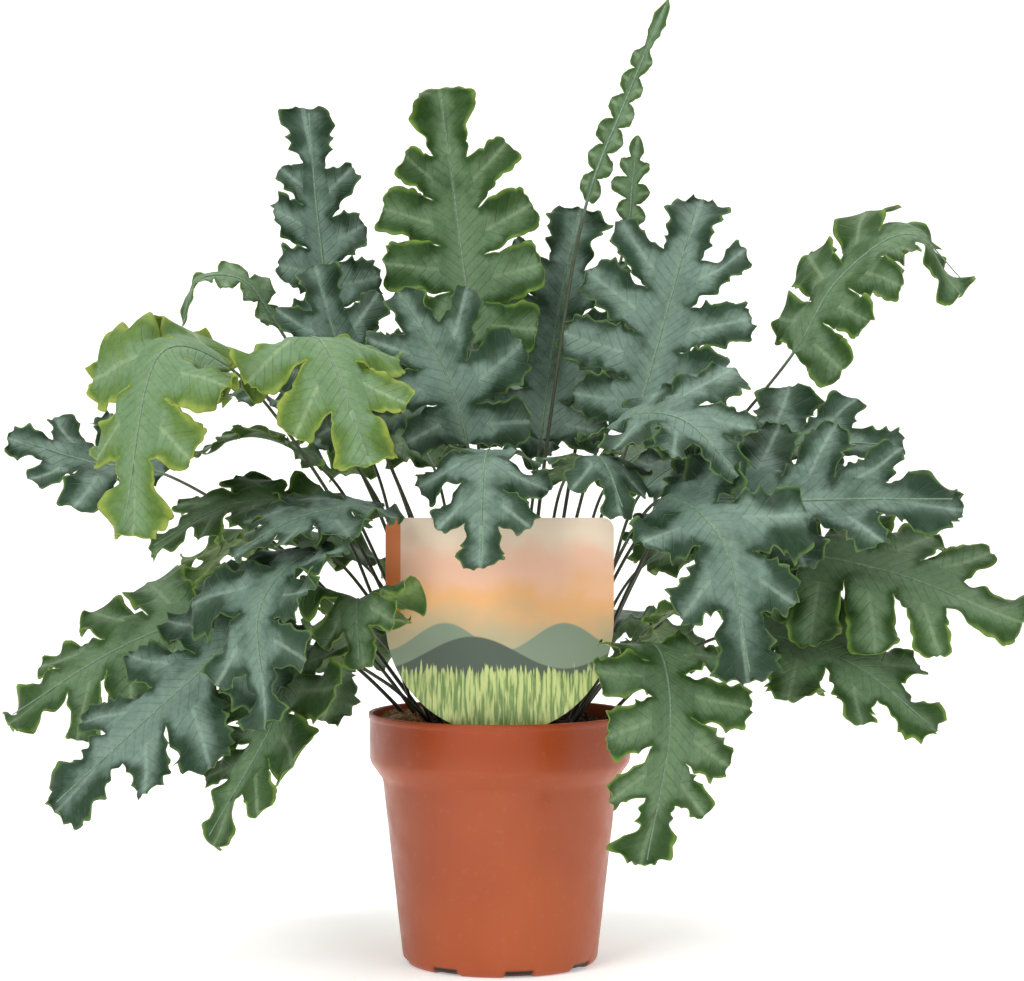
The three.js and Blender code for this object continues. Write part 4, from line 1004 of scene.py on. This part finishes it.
def leaf_finish(name, heart, body, margin, rib, margin_width, rib_strength, relief):
    """One face of a blade: leathery, softly shining, with the leaf pattern in its own colours."""
    material, tree, shader = new_material(name, body, 0.55, 0.24)
    group = add_node(tree, "ShaderNodeGroup", node_tree=LEAF_PATTERN)
    for socket, code in (("Heart", heart), ("Body", body), ("Margin", margin), ("Rib", rib)):
        group.inputs[socket].default_value = paint(code)
    group.inputs["Margin Width"].default_value = margin_width
    group.inputs["Rib Strength"].default_value = rib_strength
    tree.links.new(group.outputs["Color"], shader.inputs["Base Color"])
    tree.links.new(group.outputs["Roughness"], shader.inputs["Roughness"])
    use_bump(tree, shader, group.outputs["Height"], relief)
    return material


def stipe_finish():
    """The stipe: dark and wiry by the soil, olive higher up, and pale green where it runs on as the blade's rib."""
    material, tree, shader = new_material("stipe", "3a3a24", 0.45)
    ripe = add_node(tree, "ShaderNodeAttribute", attribute_name="ripe").outputs["Fac"]
    color = two_colors(tree, smooth_step(tree, ripe, 0.1, 0.75), paint("241c14"), paint("3c4429"))
    color = two_colors(tree, smooth_step(tree, ripe, 0.93, 1.08), color, paint("6d8a6e"))
    speck = smooth_step(tree, cloud(tree, object_place(tree), 900, 2), 0.4, 0.7, 0.75, 1.15)
    color = add_node(tree, "ShaderNodeHueSaturation", {"Color": color, "Value": speck}).outputs[0]
    tree.links.new(color, shader.inputs["Base Color"])
    return material


LEAF_PATTERN = leaf_pattern()
STIPE_FINISH = stipe_finish()
LEAF_FACES = {
    "blue": (
        leaf_finish("blue_upper", "667e70", "233c27", "5a763c", "8fa594", 0.16, 0.5, 0.0005),
        leaf_finish("blue_under", "59734a", "314c28", "607c3c", "839870", 0.1, 0.6, 0.0007),
    ),
    "green": (
        leaf_finish("green_upper", "5a7552", "2c4a1c", "6f8c38", "8aa07a", 0.22, 0.45, 0.0005),
        leaf_finish("green_under", "557338", "3b5822", "6f8c38", "889e62", 0.14, 0.6, 0.0007),
    ),
    "yellow": (
        leaf_finish("yellow_upper", "64825c", "557230", "8f9e40", "98ac80", 0.32, 0.5, 0.0005),
        leaf_finish("yellow_under", "6c883e", "5f7c2e", "8f9e40", "9cae6a", 0.2, 0.6, 0.0007),
    ),
}

for number, row in enumerate(FRONDS, 1):
    node = f"frond_{number:02d}"
    frond = frond_piece(f"{node}_leaf", row, number)
    for face in (*LEAF_FACES[row[-1]], STIPE_FINISH):
        frond.data.materials.append(face)
    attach(frond, "root")
    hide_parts(node)
